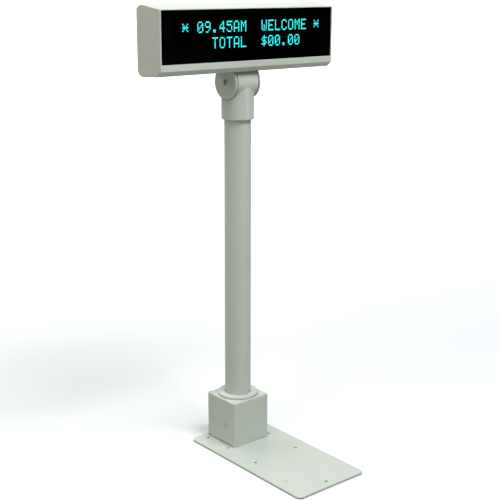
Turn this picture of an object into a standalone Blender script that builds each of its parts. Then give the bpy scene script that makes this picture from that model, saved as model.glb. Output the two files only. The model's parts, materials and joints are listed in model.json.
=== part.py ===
"""Customer pole display: a two-line character display that tilts and swivels on a pole above a counter plate.

The origin is on the pole's axis at the plate's underside. X runs along the display's width, the display
faces -Y, and Z is up.
"""

import math

import bmesh
import bpy
from mathutils import Matrix, Vector

mm = 0.001
GAP = 0.3 * mm  # between pieces that touch

# counter plate
PLATE_HALF_WIDTH = 48.25 * mm
PLATE_BACK = 27.3 * mm
PLATE_FRONT = -161.6 * mm
PLATE_THICK = 2.0 * mm
PLATE_CORNER = 6.0 * mm
MOUNT_HOLE_RADIUS = 1.9 * mm
MOUNT_HOLES = ((-31, 17), (31, 17), (-31, -19.7), (31, -19.7), (-30, -68.7), (30, -68.7), (0, -151.7))

# folded box that stands on the plate
BOX_HALF_WIDTH = 25.8 * mm
BOX_FRONT = -24.8 * mm
BOX_BACK = 25.0 * mm
BOX_TOP = 56.6 * mm
BOX_SHEET = 1.2 * mm
BOX_FOLD = 1.5 * mm
BOX_SCREW_X = 19.0 * mm
BOX_SCREW_Y = 13.0 * mm
CABLE_EXIT_Z = 17.0 * mm
CABLE_EXIT_RADIUS = 6.5 * mm
GROMMET_BORE_RADIUS = 4.2 * mm

# pole and its flange
POLE_RADIUS = 15.0 * mm
POLE_BORE = 13.4 * mm
POLE_BOTTOM = 12.0 * mm
POLE_TOP = 389.5 * mm
FLANGE_RADIUS = 23.5 * mm
FLANGE_THICK = 2.7 * mm
NECK_RADIUS = 17.6 * mm
NECK_BOTTOM = 38.0 * mm

# tee that swivels on the pole, and the tilt hinge in its barrel
SLEEVE_RADIUS = 18.1 * mm
SLEEVE_BORE = 16.6 * mm
SLEEVE_BOTTOM = 379.0 * mm
HINGE_Z = 419.6 * mm
BARREL_RADIUS = 18.5 * mm
BARREL_BORE = 16.0 * mm
BARREL_HALF = 13.9 * mm
CAP_RADIUS = 18.8 * mm
CAP_FACE = 17.5 * mm
CAP_FLANGE = 2.4 * mm
SWIVEL_STOP = 165  # degrees each way
TILT_FORWARD, TILT_BACK = 20, 35  # degrees

# display head
HEAD_HALF = 118.4 * mm
HEAD_FRONT = -24.0 * mm
HEAD_BACK = 17.7 * mm
HEAD_BOTTOM = 430.2 * mm
WINDOW_HALF = 116.1 * mm
WINDOW_LOW = 443.9 * mm
WINDOW_HIGH = 497.2 * mm
WALL = 2.4 * mm
POCKET_RADIUS = 19.6 * mm
POCKET_HALF = 18.3 * mm

bpy.ops.object.select_all(action="DESELECT")
for old in list(bpy.data.objects):
    bpy.data.objects.remove(old)
for old in list(bpy.data.collections):
    bpy.data.collections.remove(old)
display = bpy.data.collections.new("customer_pole_display")
cutters = bpy.data.collections.new("cutters")
bpy.context.scene.collection.children.link(display)
bpy.context.scene.collection.children.link(cutters)


# ---- tools ----

ROUND = 32  # sides of the large round pieces
MEDIUM_ROUND = 16  # sides of washers and bushes
SMALL_ROUND = 10  # sides of screws, nuts and their holes


def material(name, colour, roughness, metallic=0.0):
    made = bpy.data.materials.new(name)
    made.use_nodes = True
    shader = made.node_tree.nodes["Principled BSDF"]
    shader.inputs["Base Color"].default_value = (*colour, 1.0)
    shader.inputs["Roughness"].default_value = roughness
    shader.inputs["Metallic"].default_value = metallic
    return made


def add(name, mesh, place=None):
    """An object of this mesh, in the cutters' collection until finish() names it a part."""
    made = bpy.data.objects.new(name, mesh)
    if place is not None:
        made.matrix_world = place
    made.hide_render = True
    made.display_type = "WIRE"
    cutters.objects.link(made)
    return made


def along(start, direction):
    """The matrix that stands local Z on a direction, with its origin at start."""
    turn = Vector((0, 0, 1)).rotation_difference(Vector(direction))
    return Matrix.Translation(start) @ turn.to_matrix().to_4x4()


def block(name, low, high):
    low, high = Vector(low), Vector(high)
    shape = bmesh.new()
    bmesh.ops.create_cube(shape, size=1.0)
    bmesh.ops.scale(shape, vec=high - low, verts=shape.verts)
    mesh = bpy.data.meshes.new(name)
    shape.to_mesh(mesh)
    shape.free()
    return add(name, mesh, Matrix.Translation((low + high) / 2))


def rod(name, radius, start, end, segments=SMALL_ROUND):
    """A cylinder between two points."""
    start, end = Vector(start), Vector(end)
    shape = bmesh.new()
    bmesh.ops.create_cone(
        shape, cap_ends=True, segments=segments, radius1=radius, radius2=radius, depth=(end - start).length
    )
    mesh = bpy.data.meshes.new(name)
    shape.to_mesh(mesh)
    shape.free()
    mesh.shade_smooth()
    mesh.set_sharp_from_angle(angle=math.radians(35))
    return add(name, mesh, along((start + end) / 2, end - start))


def turned(name, profile, start, direction, steps=SMALL_ROUND):
    """A (radius, height) profile turned about a direction: it runs down the outer side, then up the bore."""
    closed = profile[0][0] > 0
    count = len(profile)
    mesh = bpy.data.meshes.new(name)
    edges = [(i, (i + 1) % count) for i in range(count if closed else count - 1)]
    mesh.from_pydata([(radius, 0, height) for radius, height in profile], edges, [])
    made = add(name, mesh, along(start, direction))
    screw = made.modifiers.new("turn", "SCREW")
    screw.steps = screw.render_steps = steps
    screw.use_merge_vertices = True
    screw.merge_threshold = 0.00001
    screw.use_smooth_shade = False
    return made


def ring(name, outer, bore, low, high, start, direction, steps=MEDIUM_ROUND):
    return turned(name, [(outer, high), (outer, low), (bore, low), (bore, high)], start, direction, steps)


def rounded(corners, segments=4):
    """An outline of straight runs, with an arc of the given radius at each (u, v, radius) corner."""
    points = []
    for index, (u, v, radius) in enumerate(corners):
        here = Vector((u, v))
        before = (Vector(corners[index - 1][:2]) - here).normalized()
        after = (Vector(corners[(index + 1) % len(corners)][:2]) - here).normalized()
        if not radius:
            points.append(here)
            continue
        half = before.angle(after) / 2
        centre = here + (before + after).normalized() * radius / math.sin(half)
        first = here + before * radius / math.tan(half) - centre
        last = here + after * radius / math.tan(half) - centre
        sweep = first.angle_signed(last)
        for step in range(segments + 1):
            turn = Matrix.Rotation(-sweep * step / segments, 2)
            points.append(centre + turn @ first)
    return points


def prism(name, outline, low, high, axis):
    """A flat outline given thickness along an axis: (y, z) points for X, (x, z) for Y, (x, y) for Z."""
    curve = bpy.data.curves.new(name, "CURVE")
    curve.dimensions = "2D"
    curve.fill_mode = "BOTH"
    curve.extrude = (high - low) / 2
    spline = curve.splines.new("POLY")
    spline.points.add(len(outline) - 1)
    for point, (u, v) in zip(spline.points, outline):
        point.co = (u, v, 0, 1)
    spline.use_cyclic_u = True
    stand = {
        "X": Matrix(((0, 0, 1), (1, 0, 0), (0, 1, 0))),
        "Y": Matrix(((1, 0, 0), (0, 0, -1), (0, 1, 0))),
        "Z": Matrix.Identity(3),
    }[axis]
    middle = Vector((0, 0, 0))
    middle["XYZ".index(axis)] = (low + high) / 2
    outline_object = bpy.data.objects.new(name + "_outline", curve)
    cutters.objects.link(outline_object)
    outline_object.matrix_world = Matrix.Translation(middle) @ stand.to_4x4()
    graph = bpy.context.evaluated_depsgraph_get()
    mesh = bpy.data.meshes.new_from_object(outline_object.evaluated_get(graph))
    place = outline_object.matrix_world.copy()
    bpy.data.objects.remove(outline_object)
    shape = bmesh.new()
    shape.from_mesh(mesh)
    bmesh.ops.remove_doubles(shape, verts=shape.verts, dist=0.000001)
    shape.to_mesh(mesh)
    shape.free()
    return add(name, mesh, place)


def boolean(target, operation, *tools):
    for tool in tools:
        modifier = target.modifiers.new(tool.name, "BOOLEAN")
        modifier.operation = operation
        modifier.solver = "EXACT"
        modifier.object = tool
    return target


def cut(target, *tools):
    return boolean(target, "DIFFERENCE", *tools)


def join(target, *tools):
    return boolean(target, "UNION", *tools)


def soften(target, width, segments=2, angle=35):
    bevel = target.modifiers.new("edges", "BEVEL")
    bevel.width = width
    bevel.segments = segments
    bevel.limit_method = "ANGLE"
    bevel.angle_limit = math.radians(angle)
    bevel.use_clamp_overlap = True
    return target


def finish(made, look, axis=None):
    """Makes an object a part: in the display's collection, with its material, on its joint's empty."""
    cutters.objects.unlink(made)
    display.objects.link(made)
    made.hide_render = False
    made.display_type = "TEXTURED"
    made.data.materials.clear()
    made.data.materials.append(look)
    if axis:
        bpy.context.view_layer.update()
        made.parent = axis
        made.matrix_parent_inverse = axis.matrix_world.inverted()
    return made


def finish_each(name, copies, look, axis=None):
    """Numbers the copies of a repeated piece and makes each one a part."""
    for index, made in enumerate(copies):
        made.name = f"{name}_{index + 1}"
        finish(made, look, axis)


def pivot(name, place):
    empty = bpy.data.objects.new(name, None)
    empty.location = place
    empty.empty_display_size = 30 * mm
    display.objects.link(empty)
    return empty


def screw_profile(head_radius, head_high, shank_radius, length, socket_radius, socket_deep):
    """A cap screw about its own axis, its shank down from 0 and its head up, with a round socket."""
    return [
        (0, head_high - socket_deep),
        (socket_radius, head_high - socket_deep),
        (socket_radius, head_high),
        (head_radius, head_high),
        (head_radius, 0),
        (shank_radius, 0),
        (shank_radius, -length),
        (0, -length),
    ]


# ---- materials ----

putty_paint = material("putty_paint", (0.55, 0.57, 0.50), 0.45)
putty_plastic = material("putty_plastic", (0.53, 0.54, 0.46), 0.5)
smoked_filter = material("smoked_filter", (0.004, 0.007, 0.005), 0.08)
zinc_steel = material("zinc_steel", (0.62, 0.62, 0.60), 0.35, 1.0)
black_rubber = material("black_rubber", (0.02, 0.02, 0.02), 0.8)
white_nylon = material("white_nylon", (0.75, 0.75, 0.70), 0.5)
tube_glass = material("tube_glass", (0.10, 0.12, 0.11), 0.05)
green_board = material("green_board", (0.02, 0.12, 0.05), 0.5)
black_resin = material("black_resin", (0.02, 0.02, 0.022), 0.4)


# ---- counter plate and box ----


def counter_plate():
    outline = rounded(
        [
            (-PLATE_HALF_WIDTH, PLATE_FRONT, PLATE_CORNER),
            (PLATE_HALF_WIDTH, PLATE_FRONT, PLATE_CORNER),
            (PLATE_HALF_WIDTH, PLATE_BACK, PLATE_CORNER),
            (-PLATE_HALF_WIDTH, PLATE_BACK, PLATE_CORNER),
        ],
        segments=6,
    )
    plate = soften(prism("base_plate", outline, 0, PLATE_THICK, "Z"), 0.3 * mm, 1, 60)
    for index, (x, y) in enumerate(MOUNT_HOLES):
        low, high = (x * mm, y * mm, -1 * mm), (x * mm, y * mm, 4 * mm)
        cut(plate, rod(f"mount_hole_{index + 1}", MOUNT_HOLE_RADIUS, low, high))
    for index, (x, y) in enumerate(box_screw_places()):
        sink = [
            (0, PLATE_THICK + 1 * mm),
            (1.8 * mm, PLATE_THICK + 1 * mm),
            (1.8 * mm, 1.5 * mm),
            (3.6 * mm, -0.3 * mm),
            (3.6 * mm, -1 * mm),
            (0, -1 * mm),
        ]
        cut(plate, turned(f"sink_{index + 1}", sink, (x, y, 0), (0, 0, 1)))
    return finish(plate, putty_paint)


def box_screw_places():
    return [(x, y) for x in (-BOX_SCREW_X, BOX_SCREW_X) for y in (-BOX_SCREW_Y, BOX_SCREW_Y)]


def folded_box():
    """A cap folded from sheet: its open bottom has two tabs that the plate's screws hold."""
    low = PLATE_THICK + GAP
    box = block("base_box", (-BOX_HALF_WIDTH, BOX_FRONT, low), (BOX_HALF_WIDTH, BOX_BACK, BOX_TOP))
    shape = bmesh.new()
    shape.from_mesh(box.data)
    shape.faces.ensure_lookup_table()
    bmesh.ops.delete(shape, geom=[f for f in shape.faces if f.normal.z < -0.5], context="FACES_ONLY")
    shape.to_mesh(box.data)
    shape.free()
    soften(box, BOX_FOLD, 3)
    sheet = box.modifiers.new("sheet", "SOLIDIFY")
    sheet.thickness = BOX_SHEET
    sheet.offset = -1
    for side, name in ((-1, "left"), (1, "right")):
        ends = sorted((side * (BOX_HALF_WIDTH - BOX_SHEET * 0.6), side * 12 * mm))
        tab = block(f"tab_{name}", (ends[0], -19 * mm, low), (ends[1], 19 * mm, low + BOX_SHEET))
        join(box, tab)
    for index, (x, y) in enumerate(box_screw_places()):
        cut(box, rod(f"tab_hole_{index + 1}", 1.8 * mm, (x, y, 1 * mm), (x, y, 6 * mm)))
    hole_low, hole_high = (0, 0, BOX_TOP - 5 * mm), (0, 0, BOX_TOP + 5 * mm)
    cut(box, rod("pole_hole", NECK_RADIUS + 0.4 * mm, hole_low, hole_high, ROUND))
    exit_low, exit_high = (0, BOX_BACK - 4 * mm, CABLE_EXIT_Z), (0, BOX_BACK + 4 * mm, CABLE_EXIT_Z)
    cut(box, rod("cable_hole", CABLE_EXIT_RADIUS + GAP, exit_low, exit_high, MEDIUM_ROUND))
    for x in (-24.2 * mm, 24.2 * mm):
        for y in (-22.9 * mm, 23.1 * mm):
            top = (x, y, BOX_TOP + 2 * mm)
            cut(box, rod("fold_relief", 0.75 * mm, (x, y, BOX_TOP - 3 * mm), top))
    return finish(box, putty_paint)


def box_fasteners():
    screws, nuts = [], []
    for index, (x, y) in enumerate(box_screw_places()):
        flat = [
            (0, 7.4 * mm),
            (1.5 * mm, 7.4 * mm),
            (1.5 * mm, 1.6 * mm),
            (2.9 * mm, 0.2 * mm),
            (2.9 * mm, 0.05 * mm),
            (1.0 * mm, 0.05 * mm),
            (1.0 * mm, 0.9 * mm),
            (0, 0.9 * mm),
        ]
        screws.append(turned("flat_screw", flat, (x, y, 0), (0, 0, 1)))
        low = PLATE_THICK + GAP + BOX_SHEET + GAP
        nut = rod("hex_nut", 3.1 * mm, (x, y, low), (x, y, low + 2.4 * mm), 6)
        cut(nut, rod(f"nut_thread_{index}", 1.8 * mm, (x, y, 0), (x, y, 10 * mm)))
        nuts.append(nut)
    finish_each("box_screw", screws, zinc_steel)
    finish_each("box_nut", nuts, zinc_steel)


def cable_grommet():
    """A rubber ring in the back wall; its groove holds the sheet."""
    wall_out = GAP
    wall_in = -BOX_SHEET - GAP
    lip = CABLE_EXIT_RADIUS + 2 * mm
    profile = [
        (lip - 0.8 * mm, wall_out + 1.6 * mm),
        (lip, wall_out + 0.8 * mm),
        (lip, wall_out),
        (CABLE_EXIT_RADIUS, wall_out),
        (CABLE_EXIT_RADIUS, wall_in),
        (lip, wall_in),
        (lip, wall_in - 1.4 * mm),
        (GROMMET_BORE_RADIUS, wall_in - 1.4 * mm),
        (GROMMET_BORE_RADIUS, wall_out + 1.6 * mm),
    ]
    place = (0, BOX_BACK, CABLE_EXIT_Z)
    return finish(turned("cable_grommet", profile, place, (0, 1, 0), MEDIUM_ROUND), black_rubber)


# ---- pole ----


def pole_parts():
    base = BOX_TOP + GAP
    top = base + FLANGE_THICK
    round_edge = 1.1 * mm
    bore = POLE_RADIUS + GAP
    profile = [(FLANGE_RADIUS - round_edge, top)]
    for step in range(1, 3):
        turn = math.radians(45 * step)
        out = FLANGE_RADIUS - round_edge + round_edge * math.sin(turn)
        profile.append((out, top - round_edge + round_edge * math.cos(turn)))
    profile += [
        (FLANGE_RADIUS, base),
        (NECK_RADIUS, base),
        (NECK_RADIUS, NECK_BOTTOM),
        (bore, NECK_BOTTOM),
        (bore, top),
    ]
    flange = turned("pole_flange", profile, (0, 0, 0), (0, 0, 1), ROUND)
    grub_z = 42.5 * mm
    for side in (-1, 1):
        start, end = (side * 14 * mm, 0, grub_z), (side * 20 * mm, 0, grub_z)
        cut(flange, rod("grub_hole", 2.3 * mm, start, end))
    finish(flange, putty_paint)

    nut_low, nut_high = 48.6 * mm, BOX_TOP - BOX_SHEET - GAP
    nut = rod("flange_nut", 23.2 * mm, (0, 0, nut_low), (0, 0, nut_high), 6)
    cut(nut, rod("flange_thread", NECK_RADIUS + GAP, (0, 0, 40 * mm), (0, 0, 70 * mm), ROUND))
    finish(nut, zinc_steel)

    grubs = []
    for side in (-1, 1):
        profile = [
            (0, 2.6 * mm),
            (1.0 * mm, 2.6 * mm),
            (1.0 * mm, 4.6 * mm),
            (2.0 * mm, 4.6 * mm),
            (2.0 * mm, 0.4 * mm),
            (1.4 * mm, 0),
            (0, 0),
        ]
        start = (side * (POLE_RADIUS + GAP), 0, grub_z)
        grubs.append(turned("grub", profile, start, (side, 0, 0)))
    finish_each("pole_grub_screw", grubs, zinc_steel)

    tube = ring("pole_tube", POLE_RADIUS, POLE_BORE, POLE_BOTTOM, POLE_TOP, (0, 0, 0), (0, 0, 1), ROUND)
    finish(tube, putty_paint)

    plug_top = POLE_TOP + 8.3 * mm
    rim = SLEEVE_BORE - 0.4 * mm
    profile = [
        (rim - 0.6 * mm, plug_top),
        (rim, plug_top - 0.6 * mm),
        (rim, POLE_TOP + GAP),
        (POLE_BORE - GAP, POLE_TOP + GAP),
        (POLE_BORE - GAP, POLE_TOP - 15 * mm),
        (8 * mm, POLE_TOP - 15 * mm),
        (8 * mm, plug_top),
    ]
    plug = turned("pole_plug", profile, (0, 0, 0), (0, 0, 1), ROUND)
    low, high = (0, 0, stop_z() - 1.9 * mm), (0, 0, stop_z() + 1.9 * mm)
    groove = rod("stop_groove", 20 * mm, low, high, ROUND)
    cut(groove, rod("groove_floor", 13.8 * mm, (0, 0, low[2] - mm), (0, 0, high[2] + mm), ROUND))
    half = 13.8 * math.sin(math.radians(8)) * mm
    cut(groove, block("stop_rib", (-half, -22 * mm, low[2] - mm), (half, -9 * mm, high[2] + mm)))
    finish(cut(plug, groove), white_nylon)


def stop_z():
    return POLE_TOP + 4.3 * mm


# ---- tee, swivel and hinge hardware ----


def sector(first, last, inner, outer, steps=10):
    """A (y, z) ring sector about the hinge, its angles in degrees from straight up towards the back."""
    points = []
    for radius, ends in ((outer, (first, last)), (inner, (last, first))):
        for step in range(steps + 1):
            turn = math.radians(ends[0] + (ends[1] - ends[0]) * step / steps)
            points.append((radius * math.sin(turn), HINGE_Z + radius * math.cos(turn)))
    return points


def tee_housing(axis):
    edge = 1.3 * mm
    outside = [(0, HINGE_Z + 2 * mm), (SLEEVE_RADIUS, HINGE_Z + 2 * mm)]
    for step in range(4):
        turn = math.radians(30 * step)
        radius = SLEEVE_RADIUS - edge + edge * math.cos(turn)
        outside.append((radius, SLEEVE_BOTTOM + edge - edge * math.sin(turn)))
    outside.append((0, SLEEVE_BOTTOM))
    tee = turned("tee_housing", outside, (0, 0, 0), (0, 0, 1), ROUND)
    barrel = rod("barrel", BARREL_RADIUS, (-BARREL_HALF, 0, HINGE_Z), (BARREL_HALF, 0, HINGE_Z), ROUND)
    join(tee, barrel)
    bore_top, shoulder = HINGE_Z - 4 * mm, POLE_TOP + 9.3 * mm
    bore = [
        (0, bore_top),
        (12 * mm, bore_top),
        (12 * mm, shoulder),
        (SLEEVE_BORE, shoulder),
        (SLEEVE_BORE, SLEEVE_BOTTOM + 1.5 * mm),
        (POLE_RADIUS + 0.4 * mm, SLEEVE_BOTTOM + 1.5 * mm),
        (POLE_RADIUS + 0.4 * mm, SLEEVE_BOTTOM - 3 * mm),
        (0, SLEEVE_BOTTOM - 3 * mm),
    ]
    cut(tee, turned("sleeve_bore", bore, (0, 0, 0), (0, 0, 1), ROUND))
    ends = (-BARREL_HALF - 5 * mm, 0, HINGE_Z), (BARREL_HALF + 5 * mm, 0, HINGE_Z)
    cut(tee, rod("barrel_bore", BARREL_BORE, *ends, ROUND))
    for side in (-1, 1):
        relief = (side * BARREL_HALF, 0, HINGE_Z), (side * 22 * mm, 0, HINGE_Z)
        cut(tee, rod("cap_relief", CAP_RADIUS + 0.4 * mm, *relief, ROUND))
    arm = math.degrees(math.asin(ARM_HALF / BARREL_BORE)) + 1.5
    slot = sector(-TILT_FORWARD - arm, TILT_BACK + arm, 12 * mm, 22 * mm)
    cut(tee, prism("tilt_slot", slot, -8.7 * mm, 8.7 * mm, "X"))
    hole = (0, 10 * mm, stop_z()), (0, 25 * mm, stop_z())
    cut(tee, rod("stop_hole", 1.9 * mm, *hole))
    sink = (0, SLEEVE_RADIUS - 0.7 * mm, stop_z()), (0, 25 * mm, stop_z())
    cut(tee, rod("stop_sink", 3.1 * mm, *sink))
    for modifier in tee.modifiers:
        if modifier.type == "BOOLEAN":
            modifier.solver = "MANIFOLD"  # EXACT leaves slivers where the bores of the tee cross
    finish(tee, putty_plastic, axis)


ARM_HALF = 5.0 * mm
ARM_THICK = 1.8 * mm
ARM_INNER = 5.7 * mm


def swivel_parts(axis):
    low, high = SLEEVE_BOTTOM + 1.8 * mm, POLE_TOP - 0.6 * mm
    bush = ring("swivel_bush", SLEEVE_BORE - GAP, POLE_RADIUS + GAP, low, high, (0, 0, 0), (0, 0, 1), ROUND)
    finish(bush, white_nylon, axis)

    stop = screw_profile(2.8 * mm, 1.0 * mm, 1.5 * mm, 3.3 * mm, 1.0 * mm, 0.7 * mm)
    start = (0, SLEEVE_RADIUS - 0.4 * mm, stop_z())
    finish(turned("swivel_stop_screw", stop, start, (0, 1, 0)), zinc_steel, axis)

    for side, name in ((-1, "hinge_cap_left"), (1, "hinge_cap_right")):
        finish(hinge_cap(name, side), putty_plastic, axis)

    centre = (0, 0, HINGE_Z)
    spacer = ring("spacer_tube", 6 * mm, 2.4 * mm, -5.4 * mm, 5.4 * mm, centre, (1, 0, 0))
    finish(spacer, zinc_steel, axis)
    washers = []
    for side in (-1, 1):
        start = ARM_INNER + ARM_THICK + GAP
        washers.append(ring("washer", 8.3 * mm, 2.4 * mm, start, start + 0.8 * mm, centre, (side, 0, 0)))
    finish_each("friction_washer", washers, black_resin, axis)

    seat = CAP_FACE - CAP_SEAT_DEEP + GAP
    bolt = screw_profile(3.1 * mm, 3.4 * mm, 2.0 * mm, seat + 16.6 * mm, 1.7 * mm, 2.0 * mm)
    finish(turned("tilt_bolt", bolt, (-seat, 0, HINGE_Z), (-1, 0, 0)), zinc_steel, axis)
    spring = ring("spring_washer", 3.3 * mm, 2.3 * mm, seat, seat + 0.7 * mm, centre, (1, 0, 0))
    finish(spring, zinc_steel, axis)
    ends = (seat + 1.0 * mm, 0, HINGE_Z), (seat + 3.2 * mm, 0, HINGE_Z)
    nut = rod("tilt_nut", 3.9 * mm, *ends, 6)
    cut(nut, rod("nut_bore", 2.3 * mm, (0, 0, HINGE_Z), (30 * mm, 0, HINGE_Z)))
    finish(nut, zinc_steel, axis)


CAP_SEAT_DEEP = 4.2 * mm


def hinge_cap(name, side):
    """An end cap of the barrel: a round-edged disc, a step that shows as a groove, and a hub inside."""
    edge = 0.8 * mm
    seat = CAP_FACE - CAP_SEAT_DEEP
    well = 3.45 * mm
    profile = [(well, CAP_FACE), (CAP_RADIUS - edge, CAP_FACE)]
    for step in range(1, 3):
        turn = math.radians(45 * step)
        out = CAP_RADIUS - edge + edge * math.sin(turn)
        profile.append((out, CAP_FACE - edge + edge * math.cos(turn)))
    profile += [
        (CAP_RADIUS, CAP_FACE - CAP_FLANGE),
        (17.4 * mm, CAP_FACE - CAP_FLANGE),
        (17.4 * mm, BARREL_HALF + GAP),
        (BARREL_BORE - GAP, BARREL_HALF + GAP),
        (BARREL_BORE - GAP, BARREL_HALF - 2 * mm),
        (8.5 * mm, BARREL_HALF - 2 * mm),
        (8.5 * mm, 8.9 * mm),
        (2.3 * mm, 8.9 * mm),
        (2.3 * mm, seat),
        (well, seat),
    ]
    cap = turned(name, profile, (0, 0, HINGE_Z), (side, 0, 0), ROUND)
    if side > 0:
        ends = (seat, 0, HINGE_Z), (CAP_FACE + 2 * mm, 0, HINGE_Z)
        cut(cap, rod("nut_recess", 4.3 * mm, *ends, 6))
    return cap


# ---- display head ----


def tilt_bracket(axis):
    """A U of sheet steel: two arms with round eyes on the hinge, and a bridge screwed down in the head."""
    eye = 8.2 * mm
    bridge_low, bridge_high = BRACKET_SEAT + GAP, BRACKET_SEAT + GAP + ARM_THICK
    meet = math.asin(ARM_HALF / eye)
    outline = []
    for step in range(25):
        turn = meet + (2 * math.pi - 2 * meet) * step / 24
        outline.append((eye * math.sin(turn), HINGE_Z + eye * math.cos(turn)))
    outline += [(-ARM_HALF, bridge_high - 0.4 * mm), (ARM_HALF, bridge_high - 0.4 * mm)]
    bridge = [
        (-29 * mm, -8 * mm, 2 * mm),
        (29 * mm, -8 * mm, 2 * mm),
        (29 * mm, 8 * mm, 2 * mm),
        (-29 * mm, 8 * mm, 2 * mm),
    ]
    bracket = prism("tilt_bracket", rounded(bridge), bridge_low, bridge_high, "Z")
    for side in (-1, 1):
        ends = sorted((side * ARM_INNER, side * (ARM_INNER + ARM_THICK)))
        join(bracket, prism("bracket_arm", outline, *ends, "X"))
        foot = (side * BRACKET_SCREW_X, 0, bridge_low - mm), (side * BRACKET_SCREW_X, 0, bridge_high + mm)
        cut(bracket, rod("bracket_hole", 1.9 * mm, *foot))
    cut(bracket, rod("eye_holes", 2.4 * mm, (-12 * mm, 0, HINGE_Z), (12 * mm, 0, HINGE_Z)))
    low, high = (0, 0, bridge_low - mm), (0, 0, bridge_high + mm)
    cut(bracket, rod("cable_pass", 4.5 * mm, low, high))
    finish(bracket, zinc_steel, axis)

    screws = []
    for side in (-1, 1):
        profile = screw_profile(2.7 * mm, 1.7 * mm, 1.4 * mm, 8 * mm, 1.0 * mm, 1.0 * mm)
        start = (side * BRACKET_SCREW_X, 0, bridge_high + GAP)
        screws.append(turned("bracket_screw", profile, start, (0, 0, 1)))
    finish_each("bracket_screw", screws, zinc_steel, axis)


BRACKET_SEAT = 442.6 * mm
BRACKET_SCREW_X = 25.0 * mm


def head_outline(inset=0.0):
    """The head's (y, z) section; inset moves every side in by a wall's thickness."""
    i = inset
    corner = max(0.8 * mm, 1.2 * mm - i)
    return rounded(
        [
            (HEAD_FRONT + i, 438.2 * mm + 0.8 * i, corner),
            (HEAD_FRONT + i, 498.7 * mm - i, max(0.8 * mm, 1.6 * mm - i)),
            (9.5 * mm, 503.2 * mm - i, 8 * mm),
            (HEAD_BACK - i, 499.6 * mm - 0.6 * i, 3.5 * mm),
            (HEAD_BACK - i, HEAD_BOTTOM + i, 9.8 * mm - i),
            (-5.7 * mm + 0.3 * i, HEAD_BOTTOM + i, 14 * mm),
        ],
        segments=5,
    )


def panel(name, half, low, high, corner, front, back):
    """A rounded rectangle in X and Z, between two places along Y."""
    corners = [(-half, low, corner), (half, low, corner), (half, high, corner), (-half, high, corner)]
    return prism(name, rounded(corners), front, back, "Y")


CAVITY_HALF = 115.9 * mm
CAVITY_FRONT = -18.5 * mm
CAVITY_BACK = 13.0 * mm
LEDGE_FRONT = -20.1 * mm
COVER_HALF = 114.5 * mm
COVER_LOW = 440.3 * mm
COVER_HIGH = 495.0 * mm
COVER_THICK = 2.2 * mm
COVER_SCREWS = [(x * mm, z * mm) for x in (-110.8, 110.8) for z in (446.0, 489.4)]
BOARD_FRONT = -2.0 * mm
BOARD_THICK = 1.6 * mm
BOARD_SCREWS = [(x * mm, z * mm) for x in (-103.6, 103.6) for z in (451.5, 489.0)]


def head_housing(axis):
    """A tube-like shell, open at the front for the window and at the back for the cover."""
    shell = prism("head_housing", head_outline(), -HEAD_HALF, HEAD_HALF, "X")
    soften(shell, 1.3 * mm, 3, 60)

    cavity = prism("cavity", head_outline(WALL), -CAVITY_HALF, CAVITY_HALF, "X")
    front_keep = block(
        "front_keep", (-130 * mm, HEAD_FRONT - mm, 420 * mm), (130 * mm, CAVITY_FRONT, 510 * mm)
    )
    back_keep = block("back_keep", (-130 * mm, CAVITY_BACK, 420 * mm), (130 * mm, HEAD_BACK + mm, 510 * mm))
    saddle_half = POCKET_HALF + 1.8 * mm
    saddle_radius = POCKET_RADIUS + 1.8 * mm
    ends = (-saddle_half, 0, HINGE_Z), (saddle_half, 0, HINGE_Z)
    cut(cavity, front_keep, back_keep, rod("saddle", saddle_radius, *ends, ROUND))
    for x, z in BOARD_SCREWS:
        cut(cavity, rod("board_boss", 2.7 * mm, (x, -22 * mm, z), (x, BOARD_FRONT - GAP, z)))
    for x, z in COVER_SCREWS:
        cut(cavity, rod("cover_boss", 2.7 * mm, (x, 3 * mm, z), (x, 16 * mm, z)))
    for side in (-1, 1):
        x = side * BRACKET_SCREW_X
        cut(cavity, rod("bracket_boss", 4.2 * mm, (x, 0, 425 * mm), (x, 0, BRACKET_SEAT)))
    cut(shell, cavity)

    recess = panel(
        "window_recess",
        WINDOW_HALF + 0.25 * mm,
        WINDOW_LOW - 0.25 * mm,
        WINDOW_HIGH + 0.25 * mm,
        1.2 * mm,
        HEAD_FRONT - 5 * mm,
        LEDGE_FRONT,
    )
    opening = panel(
        "window_opening", 100 * mm, 447.8 * mm, 493.3 * mm, 2 * mm, LEDGE_FRONT - mm, CAVITY_FRONT + mm
    )
    rebate = panel(
        "cover_rebate",
        COVER_HALF + GAP,
        COVER_LOW - GAP,
        COVER_HIGH + GAP,
        3 * mm,
        HEAD_BACK - COVER_THICK - GAP,
        HEAD_BACK + 5 * mm,
    )
    back_opening = panel(
        "back_opening", 107.5 * mm, 443.6 * mm, 491.6 * mm, 3 * mm, CAVITY_BACK - mm, HEAD_BACK + mm
    )
    ends = (-POCKET_HALF, 0, HINGE_Z), (POCKET_HALF, 0, HINGE_Z)
    pocket = rod("hinge_pocket", POCKET_RADIUS, *ends, ROUND)
    slot = block("bracket_slot", (-9.2 * mm, -6.5 * mm, 432 * mm), (9.2 * mm, 6.5 * mm, 446 * mm))
    cut(shell, recess, opening, rebate, back_opening, pocket, slot)
    for x, z in BOARD_SCREWS:
        cut(shell, rod("board_pilot", 1.4 * mm, (x, -10 * mm, z), (x, BOARD_FRONT + mm, z)))
    for x, z in COVER_SCREWS:
        cut(shell, rod("cover_pilot", 1.4 * mm, (x, 5 * mm, z), (x, HEAD_BACK, z)))
    for side in (-1, 1):
        x = side * BRACKET_SCREW_X
        cut(shell, rod("bracket_pilot", 1.7 * mm, (x, 0, 433 * mm), (x, 0, BRACKET_SEAT + mm)))
    finish(shell, putty_plastic, axis)


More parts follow.
